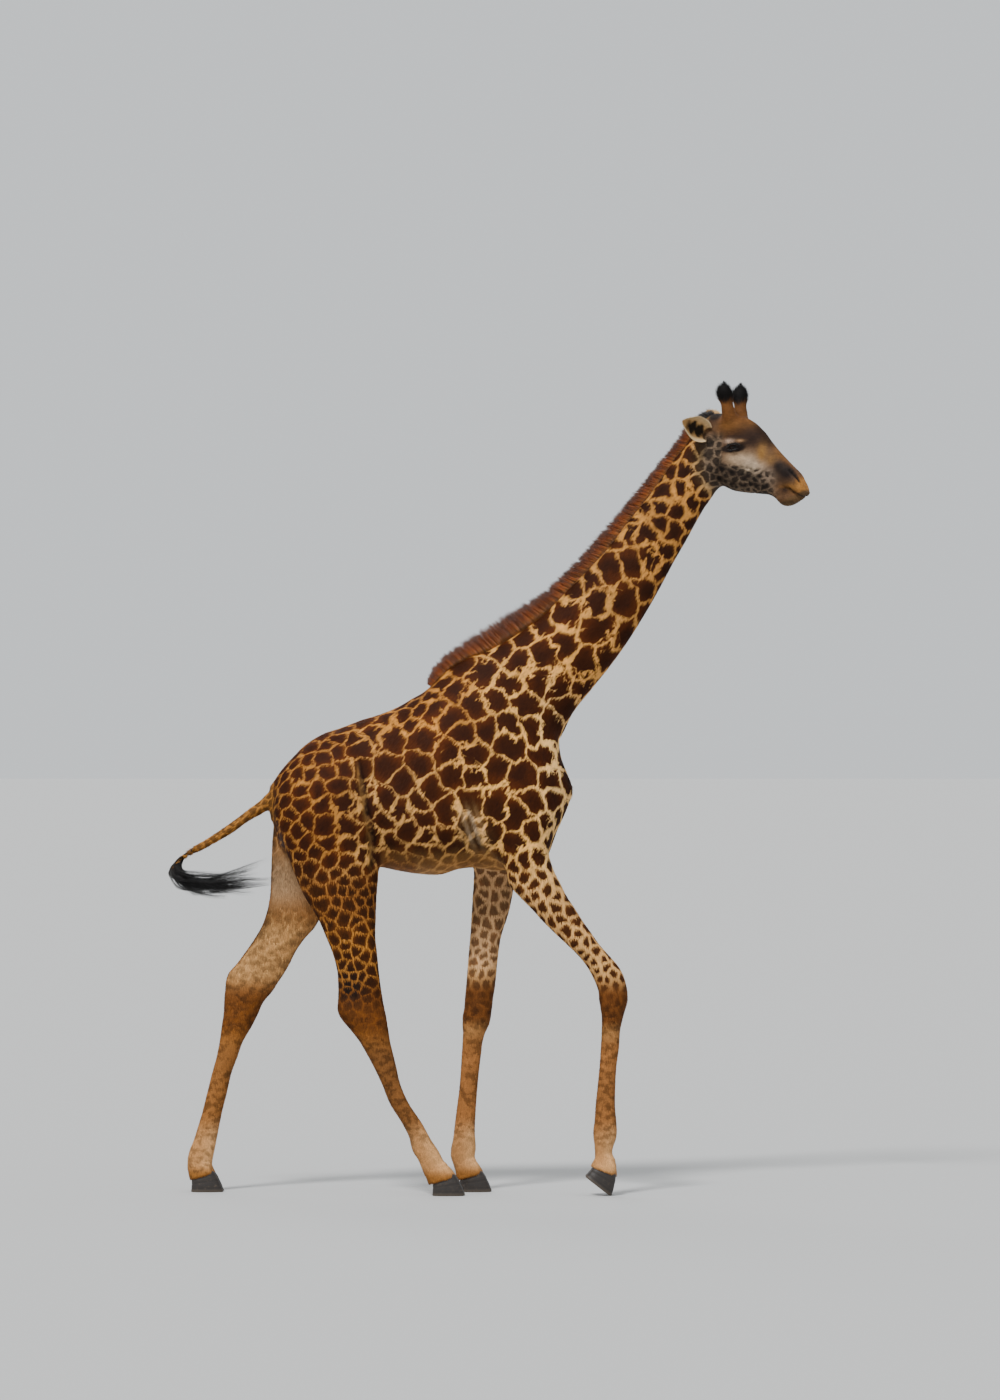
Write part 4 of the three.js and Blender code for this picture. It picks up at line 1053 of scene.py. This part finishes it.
def locks(name, paths, halves, flat, place, constants, under=None):
    """One mesh of tapering three-sided locks. Lock n passes through paths[n, 0..k-1] with ring corners
    at c + w a, c - w a and c + 0.6 w (way x a), and ends in the point paths[n, k]; a is flat[n]. Where
    `under` gives the skin's facing at the root, the lock is shaded like the skin below it."""
    n, k = len(paths), paths.shape[1] - 1
    way = np.diff(paths, axis=1)
    up = np.cross(flat[:, None], way)
    up /= np.maximum(np.linalg.norm(up, axis=2), 1e-9)[..., None]
    w = halves[..., None]
    ring = np.stack([paths[:, :k] + w * flat[:, None], paths[:, :k] - w * flat[:, None],
                     paths[:, :k] + 0.6 * w * up], 2)
    points = np.concatenate([ring.reshape(n, 3 * k, 3), paths[:, k:]], 1)
    faces = [(0, 1, 2)]
    for i in range(k - 1):
        for j in range(3):
            a, b = 3 * i + j, 3 * i + (j + 1) % 3
            faces += [(a, a + 3, b), (b, a + 3, b + 3)]
    faces += [(3 * k - 3 + j, 3 * k, 3 * k - 3 + (j + 1) % 3) for j in range(3)]
    faces = np.array(faces)
    each = 3 * k + 1
    corner = points[:, faces]
    volume = (corner[:, :, 0] * np.cross(corner[:, :, 1], corner[:, :, 2])).sum()
    faces = faces[:, ::-1] if volume < 0 else faces
    index = (np.arange(n)[:, None, None] * each + faces).reshape(-1)
    mesh = bpy.data.meshes.new(name)
    mesh.vertices.add(n * each)
    mesh.vertices.foreach_set("co", points.astype(np.float32).ravel())
    mesh.loops.add(len(index))
    mesh.loops.foreach_set("vertex_index", index.astype(np.int32))
    mesh.polygons.add(len(index) // 3)
    mesh.polygons.foreach_set("loop_start", np.arange(0, len(index), 3, dtype=np.int32))
    mesh.update(calc_edges=True)
    local = np.array([[j % 3 / 2, i / k] for i in range(k) for j in range(3)] + [[0.5, 1.0]])
    uv = place[:, None] + LOCK_ON_MAP * (local[None] - 0.5)
    layer = mesh.uv_layers.new(name="OFBake")
    layer.data.foreach_set("uv", uv.reshape(-1, 2)[index].astype(np.float32).ravel())
    for key, values in constants.items():
        keep(mesh, key, np.repeat(values, each, axis=0))
    keep(mesh, "along", np.tile(local[:, 1], n))
    all_smooth(mesh)
    if under is not None:
        way = way[:, -1] / np.linalg.norm(way[:, -1], axis=1)[:, None]
        facing = np.repeat(under[:, None], each, axis=1)
        facing[:, 0:3 * k:3] += 0.5 * flat[:, None]
        facing[:, 1:3 * k:3] -= 0.5 * flat[:, None]
        facing[:, -1] += 0.35 * way
        facing /= np.linalg.norm(facing, axis=2)[..., None]
        mesh.normals_split_custom_set_from_vertices(facing.reshape(-1, 3).astype(np.float32))
    return linked(name, mesh)


def scattered(mesh, density, rng):
    """Random places on a mesh, so many for each triangle as its area times the density there; for each
    place its triangle's corners, its share of each corner and its face."""
    mesh.calc_loop_triangles()
    corners = np.empty(len(mesh.loop_triangles) * 3, np.int32)
    mesh.loop_triangles.foreach_get("vertices", corners)
    corners = corners.reshape(-1, 3)
    face = np.empty(len(corners), np.int32)
    mesh.loop_triangles.foreach_get("polygon_index", face)
    p = read(mesh.vertices, "co")[corners]
    area = np.linalg.norm(np.cross(p[:, 1] - p[:, 0], p[:, 2] - p[:, 0]), axis=1) / 2
    count = np.floor(area * density[corners].mean(1) + rng.random(len(area))).astype(int)
    pick = np.repeat(np.arange(len(area)), count)
    a, b = rng.random((2, len(pick)))
    over = a + b > 1
    a, b = np.where(over, 1 - a, a), np.where(over, 1 - b, b)
    return corners[pick], np.c_[1 - a - b, a, b], face[pick]


def spread(values, corners, share):
    """Values at points inside triangles: the sum of each corner's value times its share."""
    return np.einsum("nc,nc...->n...", share, values[corners])


def coat_sizes(p, ears):
    """Length, half width, lift of the tip and locks per square metre of the coat at each point."""
    r = regions(p)
    q, h = r["q"], r["h"]
    low = ramp(q[:, 2], 1.5, 0.9)
    length = 0.0200 - 0.006 * low - 0.0035 * ramp(q[:, 2], 0.45, 0.25)
    half = 0.0023 - 0.0006 * low
    lift = 0.0022 - 0.0008 * low
    muzzle = ramp(h[:, 0], 0.30, 0.46)
    length = mixed(length, 0.0125 - 0.0060 * muzzle, r["head"])
    half = mixed(half, 0.0013 - 0.0003 * muzzle, r["head"])
    lift = mixed(lift, 0.0012 - 0.0007 * muzzle, r["head"])
    tuft = ramp(h[:, 2], 0.225, 0.25) * r["head"]
    length, half, lift = mixed(length, 0.027, tuft), mixed(half, 0.0013, tuft), mixed(lift, 0.009, tuft)
    brush = ramp(q[:, 0], 0.30, 0.35) * ramp(q[:, 2], 1.9, 2.0) * (q[:, 2] < 2.2)
    lift = lift + 0.002 * brush
    edge = ears[:, 0] * ramp(np.abs(ears[:, 2]), 0.6, 0.95)
    length = mixed(length, 0.010 + 0.008 * edge, ears[:, 0])
    half = mixed(half, 0.0011, ears[:, 0])
    lift = mixed(lift, 0.0010 + 0.004 * edge, ears[:, 0])
    wanted = 1.05 / (length * half)
    wanted = wanted * (1 - 0.45 * r["head"] * (1 - tuft)) * (1 - 0.25 * ears[:, 0])
    return length, half, lift, wanted


# Where the tufts root, how long they are and which way they lie; each keeps the markings of its root.
rng = np.random.default_rng(11)
EAR_AT = on_ears(points)
sizes = coat_sizes(points, EAR_AT)
sizes = (sizes[0] * (1 - 0.55 * crease), sizes[1], sizes[2] * (1 - 0.6 * crease), sizes[3] * (1 + 0.5 * crease))
bare = np.min([np.linalg.norm(points - eye, axis=1) for eye in EYE], axis=0) < 0.031
corners, share, face = scattered(skin_mesh, np.where(bare, 0, sizes[3]), rng)
root, up = spread(points, corners, share), spread(normals, corners, share)
up /= np.linalg.norm(up, axis=1)[:, None]
length, half, lift, _ = [spread(v, corners, share) for v in sizes]
ear_at_root = spread(EAR_AT, corners, share)
lie = hair_lie(root, up)
for base, heading, opening in EARS.values():
    out = np.array(heading) / np.linalg.norm(heading)
    lie = mixed(lie, out, (ear_at_root[:, 0] > 0.5) * (np.sign(base[1]) == np.sign((root - POLL) @ HEAD_AXES[1])))
lie = lie + 0.13 * rng.normal(size=root.shape)
lie -= up * (lie * up).sum(1)[:, None]
lie /= np.linalg.norm(lie, axis=1)[:, None]
length = length * rng.uniform(0.75, 1.2, len(root))
lift = lift * rng.uniform(0.5, 1.5, len(root))
paths = np.stack([root - 0.0012 * up, root + length[:, None] * lie + lift[:, None] * up], 1)
values = {name: spread(v, corners, share) for name, v in (
    ("patch_size", size), ("line_half", line), ("mark", mark), ("ground", ground), ("patch", patch),
    ("blotch", blotch))}
values["root"] = root
values["shade"] = rng.random(len(root))
for i in range(4):
    values[f"middle_{i}"] = FACE_MARKS[face, i]

# The tufts in pieces by area, each laid out on its UV map as on the body: along it one way, round it the other.
r = regions(root)
q, h = r["q"], r["h"]
turn = np.arctan2(np.abs(q[:, 1]), q[:, 2] - 2.02) / np.pi
turn_neck = np.arctan2(np.abs(q[:, 1]), -((q - [0, 0, 2.4]) @ NECK_FRONT - 0.06)) / np.pi
leg_axis = np.where(r["fore"], np.where(q[:, 1] < 0, 0.35, -0.1), np.where(q[:, 1] < 0, -0.65, -1.35))
turn_leg = np.arctan2(q[:, 1] - np.sign(q[:, 1]) * 0.14, q[:, 0] - leg_axis) / (2 * np.pi) + 0.5
turn_head = np.arctan2(h[:, 1], h[:, 2] + 0.05) / (2 * np.pi) + 0.5
horn = h[:, 2] > 0.17
ear = ear_at_root[:, 0] > 0.5
is_head = (r["head"] > 0.5)
is_tail = ~is_head & (q[:, 0] < -1.14) & (q[:, 2] > 1.56)
is_leg = ~is_head & ~is_tail & (q[:, 2] < 1.66)
is_neck = ~is_head & ~is_leg & (r["neck"] > 0.5)
rest = ~(is_head | is_tail | is_leg | is_neck)
# each piece: which tufts are in it, and their place along it and round it
AREAS = {
    "coat_head": (is_head, np.where(horn, 0.72 + 0.2 * (h[:, 2] - 0.17) / 0.17, np.where(
        ear, 0.90 + 0.09 * ear_at_root[:, 1], 0.7 * (h[:, 0] + 0.1) / 0.7)), np.where(
            ear, 0.25 * ear_at_root[:, 2] + 0.25 + 0.5 * ear_at_root[:, 3], turn_head)),
    "coat_tail": (is_tail, (q[:, 0] + 1.7) / 0.6, np.arctan2(q[:, 1] + 0.02, q[:, 2] - 1.8) / 6.3 + 0.5),
}
for name, chosen, along, around in (
    ("neck", is_neck, r["t"] / 1.8, turn_neck),
    ("front", rest & (q[:, 0] > -0.38), (q[:, 0] + 0.4) / 0.85, turn),
    ("rear", rest & (q[:, 0] <= -0.38), (q[:, 0] + 1.2) / 0.85, turn),
    ("foreleg", is_leg & r["fore"], q[:, 2] / 1.7, turn_leg),
    ("hindleg", is_leg & ~r["fore"], q[:, 2] / 1.7, turn_leg),
):
    AREAS[f"coat_{name}_right"] = (chosen & (q[:, 1] < 0), along, around)
    AREAS[f"coat_{name}_left"] = (chosen & (q[:, 1] >= 0), along, around)
COAT = coat_material("coat_hair", True)
flat = np.cross(lie, up)
for name, (chosen, along, around) in AREAS.items():
    chosen = np.flatnonzero(chosen)
    place = np.clip(np.c_[along, around][chosen], 0.002, 0.998)
    made = locks(name, paths[chosen], half[chosen, None], flat[chosen], place,
                 {k: v[chosen] for k, v in values.items()}, up[chosen])
    finished(made, "hide", COAT)


# ---------------------------------------------------------------------------------------------------
# The mane. Real thing: an upright brush of stiff hair rooted along the crest of the neck, chestnut with
# dark tips, ending in a dark tuft between the ears. A thin fin inside it keeps light from showing through.
# ---------------------------------------------------------------------------------------------------
CREST = np.array([
    [-356, 2574, 16], [-335, 2592, 38], [-290, 2622, 70], [-215, 2662, 100], [-95, 2726, 118], [70, 2810, 140],
    [210, 2893, 140], [330, 2998, 118], [480, 3168, 108], [640, 3383, 86], [790, 3593, 66], [900, 3750, 54],
    [960, 3850, 46], [1000, 3900, 40], [1040, 3928, 36], [1085, 3945, 26],
]) / 1000  # place along the body, height at the crest's foot, hair length


def crest_at(s):
    """Point on the crest's line, its direction and the hair's length, for s from 0 to 1 by length."""
    steps = np.r_[0, np.cumsum(np.linalg.norm(np.diff(CREST[:, :2], axis=0), axis=1))]
    at = s * steps[-1]
    x, z, tall = [np.interp(at, steps, CREST[:, i]) for i in range(3)]
    slope = np.interp(at, (steps[1:] + steps[:-1]) / 2, np.arctan2(*np.diff(CREST[:, :2], axis=0).T[::-1]))
    along = np.stack([np.cos(slope), 0 * slope, np.sin(slope)], -1)
    upright = np.stack([-np.sin(slope), 0 * slope, np.cos(slope)], -1)
    return np.stack([x, 0 * x, z], -1) + MIDDLE, along, upright, tall


# Each hair leans back a little from the crest, bends, and is gathered towards the middle of its clump.
rng = np.random.default_rng(21)
clumps, each = 1900, 6
s = np.repeat(np.sort(rng.random(clumps)), each)
across = np.clip(np.repeat(rng.uniform(-1, 1, clumps), each) + 0.10 * rng.normal(size=len(s)), -1, 1)
lean = np.repeat(rng.normal(size=(clumps, 2)), each, axis=0) + 0.35 * rng.normal(size=(len(s), 2))
s = np.clip(s + 0.0022 * rng.normal(size=len(s)), 0, 1)
foot, along, upright, tall = crest_at(s)
wide = 0.021 - 0.006 * s
foot = foot + 0.005 * upright + np.outer(across * wide, Y)
foot = foot - upright * (body_field(foot, False) + 0.006)[:, None]
way = upright - (0.22 + 0.06 * lean[:, :1]) * along + np.outer(across * 0.20, Y) + 0.03 * lean[:, 1:] * Y
way /= np.linalg.norm(way, axis=1)[:, None]
crown = crest_at(s)[0] + upright * tall[:, None]
reach = np.maximum(((crown - foot) * upright).sum(1), 0.02) * (1 - 0.20 * across ** 2)
reach = reach * np.repeat(rng.uniform(0.88, 1.06, clumps), each) * rng.uniform(0.74, 1.0, len(s))
steps = np.array([0, 0.35, 0.7, 1.0])
paths = foot[:, None] + way[:, None] * (reach[:, None] * steps)[..., None]
paths = paths - (along * 0.10 * reach[:, None])[:, None] * (steps ** 2)[:, None]
gather = paths.reshape(clumps, each, 4, 3).mean(1)
paths += 0.30 * (np.repeat(gather, each, axis=0) - paths) * (steps ** 2)[:, None]
halves = np.outer(rng.uniform(0.0011, 0.0019, len(s)), [1, 1, 0.8])
tint = 0.5 + 0.28 * np.repeat(rng.normal(size=clumps), each) + 0.15 * rng.normal(size=len(s))
mane = locks("mane_hair", paths, halves, along, np.c_[0.01 + 0.98 * s, 0.5 + 0.45 * across],
             {"shade": np.clip(tint, 0, 1), "root": foot, "dark": ramp(s, 0.925, 0.965)})

# the fin inside the brush
s = np.linspace(0.018, 0.97, 160)
foot, along, upright, tall = crest_at(s)
angle = np.linspace(0, 2 * np.pi, 20, endpoint=False)
low = foot - 0.030 * upright
high = foot + upright * (0.50 * tall - 0.004)[:, None]
middle, tallness = (low + high) / 2, np.linalg.norm(high - low, axis=1) / 2
fin = middle[:, None] + upright[:, None] * (tallness[:, None] * np.cos(angle))[..., None]
fin = fin + Y * (0.012 * np.sin(angle) * (1 - 0.45 * np.cos(angle)))[None, :, None]
fin_mesh = mesh_of("mane_body", fin.reshape(-1, 3), ring_faces(len(s), len(angle)))
facing_out(fin_mesh)
keep(fin_mesh, "along", np.tile(0.35 + 0.25 * np.cos(angle), len(s)))
keep(fin_mesh, "root", fin.reshape(-1, 3))
# the fin a little darker than the hair round it: painted shade inside the brush
keep(fin_mesh, "shade", np.full(fin.size // 3, 0.3))
keep(fin_mesh, "dark", np.repeat(ramp(s, 0.925, 0.965), len(angle)))
all_smooth(fin_mesh)


def long_hair(name, foot, middle, tip, clump):
    """Hair that goes from the foot's colour by the middle's to the tip's, darker and paler by clumps and hairs."""
    m = Nodes(name)
    along = m.number("along")
    colour = m.mix(m.smooth(along, 0.05, 0.55), foot, middle)
    colour = m.mix(m.smooth(along, 0.5, 1.0), colour, tip)
    patchy = m.noise(m.triple("root"), clump, 3.0, 0.65).outputs["Fac"]
    colour = m.mix(m.smooth(patchy, 0.3, 0.7), m.scaled(colour, 0.60), m.scaled(colour, 1.35))
    colour = m.mix(m.number("shade"), m.scaled(colour, 0.70), m.scaled(colour, 1.30))
    colour = m.mix(m.number("dark"), colour, linear(24, 17, 14))
    m.to("Base Color", colour)
    m.to("Roughness", 0.45)
    m.to("Specular IOR Level", 0.4)
    m.to("Sheen Weight", 0.1)
    return m.material


MANE_HAIR = long_hair("mane_hair", linear(148, 96, 48), linear(128, 65, 24), linear(60, 28, 13), 42.0)
finished(mane, "mane_hair", MANE_HAIR, "mane")
finished(linked("mane_body", fin_mesh), "mane_hair", MANE_HAIR)


# ---------------------------------------------------------------------------------------------------
# The tail's switch. Real thing: long black hairs from the last third of the tail, hanging back and then
# sweeping forward in the wind of the walk. Each hair is a curve from its root through a bow to its own end.
# ---------------------------------------------------------------------------------------------------
rng = np.random.default_rng(31)
clumps, each = 60, 26
s = np.repeat(rng.random(clumps) ** 1.3, each) + 0.04 * rng.random(clumps * each)
count = len(s)
turn = np.repeat(rng.random(clumps) * 2 * np.pi, each) + 0.5 * rng.normal(size=count)
tail_rows = stations(TAIL)
at = -1.660 + 0.105 * s
low, high, wide, middle_y, _ = along_rows(tail_rows, at).T
centre = np.stack([at, middle_y, (low + high) / 2], -1) + MIDDLE
foot = centre + 0.55 * np.stack([0.3 * wide * np.cos(turn), wide * np.sin(turn), (high - low) / 2 * np.cos(turn)], -1)


def shared(spread_all, spread_one):
    """Random shifts: one for each clump of hairs, and a smaller one for each hair."""
    clump = np.repeat(rng.normal(size=(clumps, 3)), each, axis=0)
    return clump * spread_all + rng.normal(size=(count, 3)) * spread_one


reach = np.repeat(rng.beta(1.6, 1.3, clumps), each) * rng.uniform(0.88, 1.0, count)
rise = np.repeat(rng.beta(1.2, 1.6, clumps), each)
end = np.stack([-1.52 + 0.40 * reach, np.full(count, -0.05), 1.520 + 0.205 * rise * reach], -1)
end = end + shared([0.03, 0.03, 0.020], [0.008, 0.007, 0.007]) + MIDDLE
bow_1 = np.array([-1.695, -0.038, 1.635]) + MIDDLE + 0.35 * (foot - MIDDLE - [-1.66, -0.037, 1.64])
bow_1 = bow_1 + shared([0.004, 0.014, 0.010], [0.002, 0.004, 0.003])
bow_2 = np.array([-1.640, -0.045, 1.525]) + MIDDLE + shared([0.022, 0.020, 0.024], [0.006, 0.005, 0.006])
# a hair at t from root to end: root (1-t)^3 + bow 3t (1-t)^2 + second bow 3t^2 (1-t) + end t^3, waved a little
t = np.linspace(0, 1, 15)
weights = np.stack([(1 - t) ** 3, 3 * t * (1 - t) ** 2, 3 * t * t * (1 - t), t ** 3])
paths = np.einsum("kt,knc->ntc", weights, np.stack([foot, bow_1, bow_2, end]))
beat, phase = np.repeat(rng.uniform(8, 15, clumps), each), np.repeat(rng.uniform(0, 6.3, clumps), each)
wave = t[None] * beat[:, None] + phase[:, None]
paths[:, :, 2] += 0.0105 * np.sin(wave) * ramp(t, 0.15, 0.6)
paths[:, :, 1] += 0.0045 * np.cos(wave) * ramp(t, 0.15, 0.6)
halves = np.outer(rng.uniform(0.0009, 0.0015, count), 1 - 0.5 * t[:-1])
place = np.c_[0.01 + 0.98 * rng.random(count), rng.random(count)]
switch = locks("switch_hair", paths, halves, np.tile(Y, (count, 1)), place,
               {"shade": rng.random(count), "root": foot})
SWITCH_HAIR = long_hair("switch_hair", linear(30, 24, 20), linear(22, 19, 18), linear(20, 18, 18), 30.0)
finished(switch, "tail_hair", SWITCH_HAIR, "tail_switch")


# ---------------------------------------------------------------------------------------------------
# The hooves. Real thing: two toes of dark horn to each foot, high in front and low at the heel, with growth
# rings, grown on below the coronet. They stand flat but for the lifted fore foot, which rests on its tips.
# ---------------------------------------------------------------------------------------------------
# One ring a row, top to sole, in millimetres: middle ahead, height, reach ahead, reach back, half width.
TOE = np.array([
    [0, 20, 44, 40, 22], [1, 8, 54, 50, 27], [4, -1, 59, 55, 29], [7, -14, 64, 58, 30], [11, -34, 74, 62, 31],
    [14, -58, 86, 66, 31.5], [15, -76, 94, 69, 31.5], [15, -81.5, 93, 68.5, 31], [15, -84, 90, 66, 29.5],
]) / 1000
TOE_ROWS = np.c_[np.linspace(0, 1, len(TOE)), TOE]
TOE_APART, TOE_RINGS, TOE_ROUND, TOE_POWER = 0.033, 26, 44, 2.3
RING_HIGH, RING_LONG = 0.0006, 0.0048  # growth rings: their height, and their distance apart over 2 pi


def toe_mesh(name, foot, side):
    """Rings of the superellipse |x/a|^2.3 + |y/b|^2.3 = 1, a being the reach ahead or behind, tilted with the
    coronet at the top and level at the sole."""
    place, pitch = FEET[foot]
    rows = along_rows(TOE_ROWS, np.linspace(0, 1, TOE_RINGS))
    angle = np.linspace(0, 2 * np.pi, TOE_ROUND, endpoint=False)
    round_x, round_y = [np.sign(c) * np.abs(c) ** (2 / TOE_POWER) for c in (np.cos(angle), np.sin(angle))]
    x, z, fore, back, half = [column[:, None] for column in rows.T]
    growth = RING_HIGH * np.sin(z / RING_LONG) * ramp(z, -0.002, -0.012) * ramp(z, -0.080, -0.070)
    ahead = x + np.where(round_x > 0, fore, back) * round_x
    across = (half + growth) * round_y + side * TOE_APART
    up = z + 0.287 * ahead * ramp(z, -0.075, 0.0)  # leaning as the coronet does, 0.287 in 1
    points = np.stack([ahead + growth * round_x, across, up], -1).reshape(-1, 3) @ foot_axes(pitch) + place + MIDDLE
    points[:, 2] = np.maximum(points[:, 2], 0.0002)
    mesh = mesh_of(name, points, ring_faces(TOE_RINGS, TOE_ROUND))
    facing_out(mesh)
    keep(mesh, "up", np.repeat(rows[:, 1], TOE_ROUND))
    mesh.polygons.foreach_set("use_smooth", np.array([len(f.vertices) == 4 for f in mesh.polygons]))
    return mesh


def hoof_horn():
    """Dark horn with level growth rings, rubbed paler at the sole and in scuffs."""
    m = Nodes("hoof_horn")
    up = m.number("up")
    at = m.node("ShaderNodeTexCoord").outputs["Object"]
    rings = m.noise(m.node("ShaderNodeCombineXYZ", {"Z": up}).outputs[0], 210.0, 3.0, 0.7).outputs["Fac"]
    scuffs = m.noise(at, 60.0, 4.0, 0.65).outputs["Fac"]
    colour = m.mix(m.smooth(rings, 0.3, 0.7), linear(22, 18, 16), linear(44, 37, 32))
    colour = m.mix(m.smooth(scuffs, 0.52, 0.85), colour, linear(76, 64, 52))
    colour = m.mix(m.smooth(up, -0.064, -0.084), colour, linear(66, 56, 45))
    m.to("Base Color", colour)
    m.to("Roughness", m.smooth(scuffs, 0.3, 0.7, 0.38, 0.62))
    m.to("Normal", m.bump(rings, 0.35, 0.002))
    return m.material


HORN = hoof_horn()
for foot in FEET:
    for which, side in (("inner", 1), ("outer", -1)):
        sign = side if foot.endswith("right") else -side
        name = f"{foot}_{which}"
        finished(linked(f"horn_{name}", toe_mesh(name, foot, sign)), "hoof", HORN, name)


# ---------------------------------------------------------------------------------------------------
# The eyes and lashes. Real thing: dark brown balls with a wide level pupil, set deep behind the lids, and
# thick black lashes rooted along the edges of the lids.
# ---------------------------------------------------------------------------------------------------
def eyeball(name, centre, side):
    """A sphere (r cos e cos a, r cos e sin a, r sin e) whose front, 25 degrees ahead of straight out, swells
    by 1.2 mm over the iris."""
    look = np.array([0.34, side * 0.94, -0.04]) @ HEAD_AXES
    look /= np.linalg.norm(look)
    level = np.cross(look, Z)
    level /= np.linalg.norm(level)
    high = np.cross(level, look)
    tilt, turn = np.meshgrid(
        np.linspace(0.02, np.pi - 0.02, 48), np.linspace(0, 2 * np.pi, 64, endpoint=False), indexing="ij")
    radius = 0.0222 + 0.0012 * np.exp(-0.5 * (tilt / 0.42) ** 2)
    gaze = np.stack([np.sin(tilt) * np.cos(turn), np.sin(tilt) * np.sin(turn), np.cos(tilt)], -1)
    points = centre + radius[..., None] * (gaze @ np.array([level, high, look]))
    mesh = mesh_of(name, points.reshape(-1, 3), ring_faces(*tilt.shape))
    facing_out(mesh)
    keep(mesh, "gaze", gaze.reshape(-1, 3))
    all_smooth(mesh)
    return mesh


def eye_material():
    """From the way each point faces: a wide oval pupil, a dark brown iris with rays, and the brown rim round it."""
    m = Nodes("eye")
    gaze = m.triple("gaze")
    split = m.node("ShaderNodeSeparateXYZ", {0: gaze})
    x, y = split.outputs[0], split.outputs[1]
    off = m.math("SQRT", m.math("ADD", m.math("POWER", x, 2.0), m.math("POWER", y, 2.0)))
    pupil = m.math("SQRT", m.math("ADD", m.math("POWER", m.math("DIVIDE", x, 0.44), 2.0),
                                  m.math("POWER", m.math("DIVIDE", y, 0.20), 2.0)))
    rays = m.noise(m.vector("MULTIPLY", gaze, (1.0, 1.0, 0.2)), 16.0, 4.0, 0.7).outputs["Fac"]
    iris = m.mix(m.smooth(rays, 0.3, 0.7), linear(14, 9, 6), linear(36, 20, 11))
    colour = m.mix(m.smooth(pupil, 0.9, 1.15), linear(6, 5, 5), iris)
    colour = m.mix(m.smooth(off, 0.62, 0.72), colour, linear(26, 18, 14))
    colour = m.mix(m.smooth(off, 0.84, 0.97), colour, linear(60, 44, 36))
    m.to("Base Color", colour)
    m.to("Roughness", 0.25)
    m.to("Specular IOR Level", 0.08)
    m.to("Coat Weight", 0.30)
    m.to("Coat IOR", 1.36)
    m.to("Coat Roughness", 0.04)
    return m.material


EYE_MATERIAL = eye_material()
lash_paths = []
for side, centre, which in ((-1, EYE[0], "right"), (1, EYE[1], "left")):
    name = f"eyeball_{which}"
    finished(linked(name, eyeball(name, centre, side)), "eye", EYE_MATERIAL, f"eye_{which}")
    rng = np.random.default_rng(41)
    # lashes: rooted on the lids' rims, out along the ball's radius and drooping by the square of their length
    for upper, number in ((True, 190), (False, 70)):
        a = rng.uniform(-0.96, 0.90, number)
        arch = np.sqrt(1 - a ** 2)
        x = 0.0300 * a - 0.002
        z = (0.0135 * arch if upper else -0.0115 * arch) + 0.10 * x - 0.001
        y = np.sqrt(np.maximum(0.0266 ** 2 - x ** 2 - z ** 2, 0.00006))
        foot = np.stack([x, side * y, z], -1)
        out = foot / np.linalg.norm(foot, axis=1)[:, None]
        tall = (0.021 if upper else 0.009) * rng.uniform(0.75, 1.15, number) * (0.6 + 0.4 * arch)
        way = out * 0.9 + np.array([0.15, 0, -0.30 if upper else -0.5]) + 0.10 * rng.normal(size=foot.shape)
        way /= np.linalg.norm(way, axis=1)[:, None]
        droop = np.array([0.1, 0, 0.22 if upper else 0.05])
        steps = np.array([0, 0.4, 0.75, 1.0])
        reach = tall[:, None] * steps
        lash_paths.append((foot[:, None] + way[:, None] * reach[..., None]
                           + droop * (reach * steps)[..., None]) @ HEAD_AXES + centre)
lash_paths = np.concatenate(lash_paths)
count = len(lash_paths)
lashes = locks("lashes", lash_paths, np.full((count, 3), 0.00055), np.tile(HEAD_AXES[0], (count, 1)),
               np.c_[np.linspace(0.01, 0.99, count), np.full(count, 0.5)],
               {"shade": np.zeros(count), "root": lash_paths[:, 0]})
finished(lashes, "hide", long_hair("lash_hair", linear(20, 16, 14), linear(16, 13, 12), linear(14, 12, 11), 60.0))

# ---------------------------------------------------------------------------------------------------
# The studio: a plain pale floor, a high key light from the animal's front right, a soft rim light from
# behind, light from all round, and a camera far off, level with the middle of its trunk.
# ---------------------------------------------------------------------------------------------------
corners = [(-400, -400, 0), (400, -400, 0), (400, 400, 0), (-400, 400, 0)]
floor = linked("floor", mesh_of("floor", corners, [(0, 1, 2, 3)]))
m = Nodes("floor")
m.to("Base Color", (0.48, 0.48, 0.475, 1))
m.to("Roughness", 0.9)
m.to("Specular IOR Level", 0.1)
floor.data.materials.append(m.material)

for name, turn, power, angle in (("key", (40, 0, -24), 3.6, 12), ("rim", (-50, 0, 20), 0.6, 30)):
    lamp = bpy.data.lights.new(name, "SUN")
    lamp.energy = power
    lamp.angle = np.radians(angle)
    linked(name, lamp).rotation_euler = np.radians(turn)
world = bpy.data.worlds.new("studio")
bpy.context.scene.world = world
world.use_nodes = True
sky = world.node_tree.nodes["Background"].inputs
sky["Color"].default_value = (0.93, 0.97, 1.0, 1)
sky["Strength"].default_value = 0.86

VIEW_HEIGHT = 1400  # pixels
AWAY, AWAY_IN_PIXELS = 30.0, 5940  # the camera's distance, in metres and in pixels of 5.05 mm at the animal
LEVEL, TILTED_UP = 2.25, 0.4588  # metres above the floor, and degrees
camera = bpy.data.cameras.new("camera")
camera.sensor_width = 36
camera.lens = camera.sensor_width * AWAY_IN_PIXELS / VIEW_HEIGHT
camera.clip_end = 1000
viewer = linked("camera", camera)
viewer.location = (MIDDLE[0], -AWAY, LEVEL)
viewer.rotation_euler = (np.radians(90 + TILTED_UP), 0, 0)
bpy.context.scene.camera = viewer
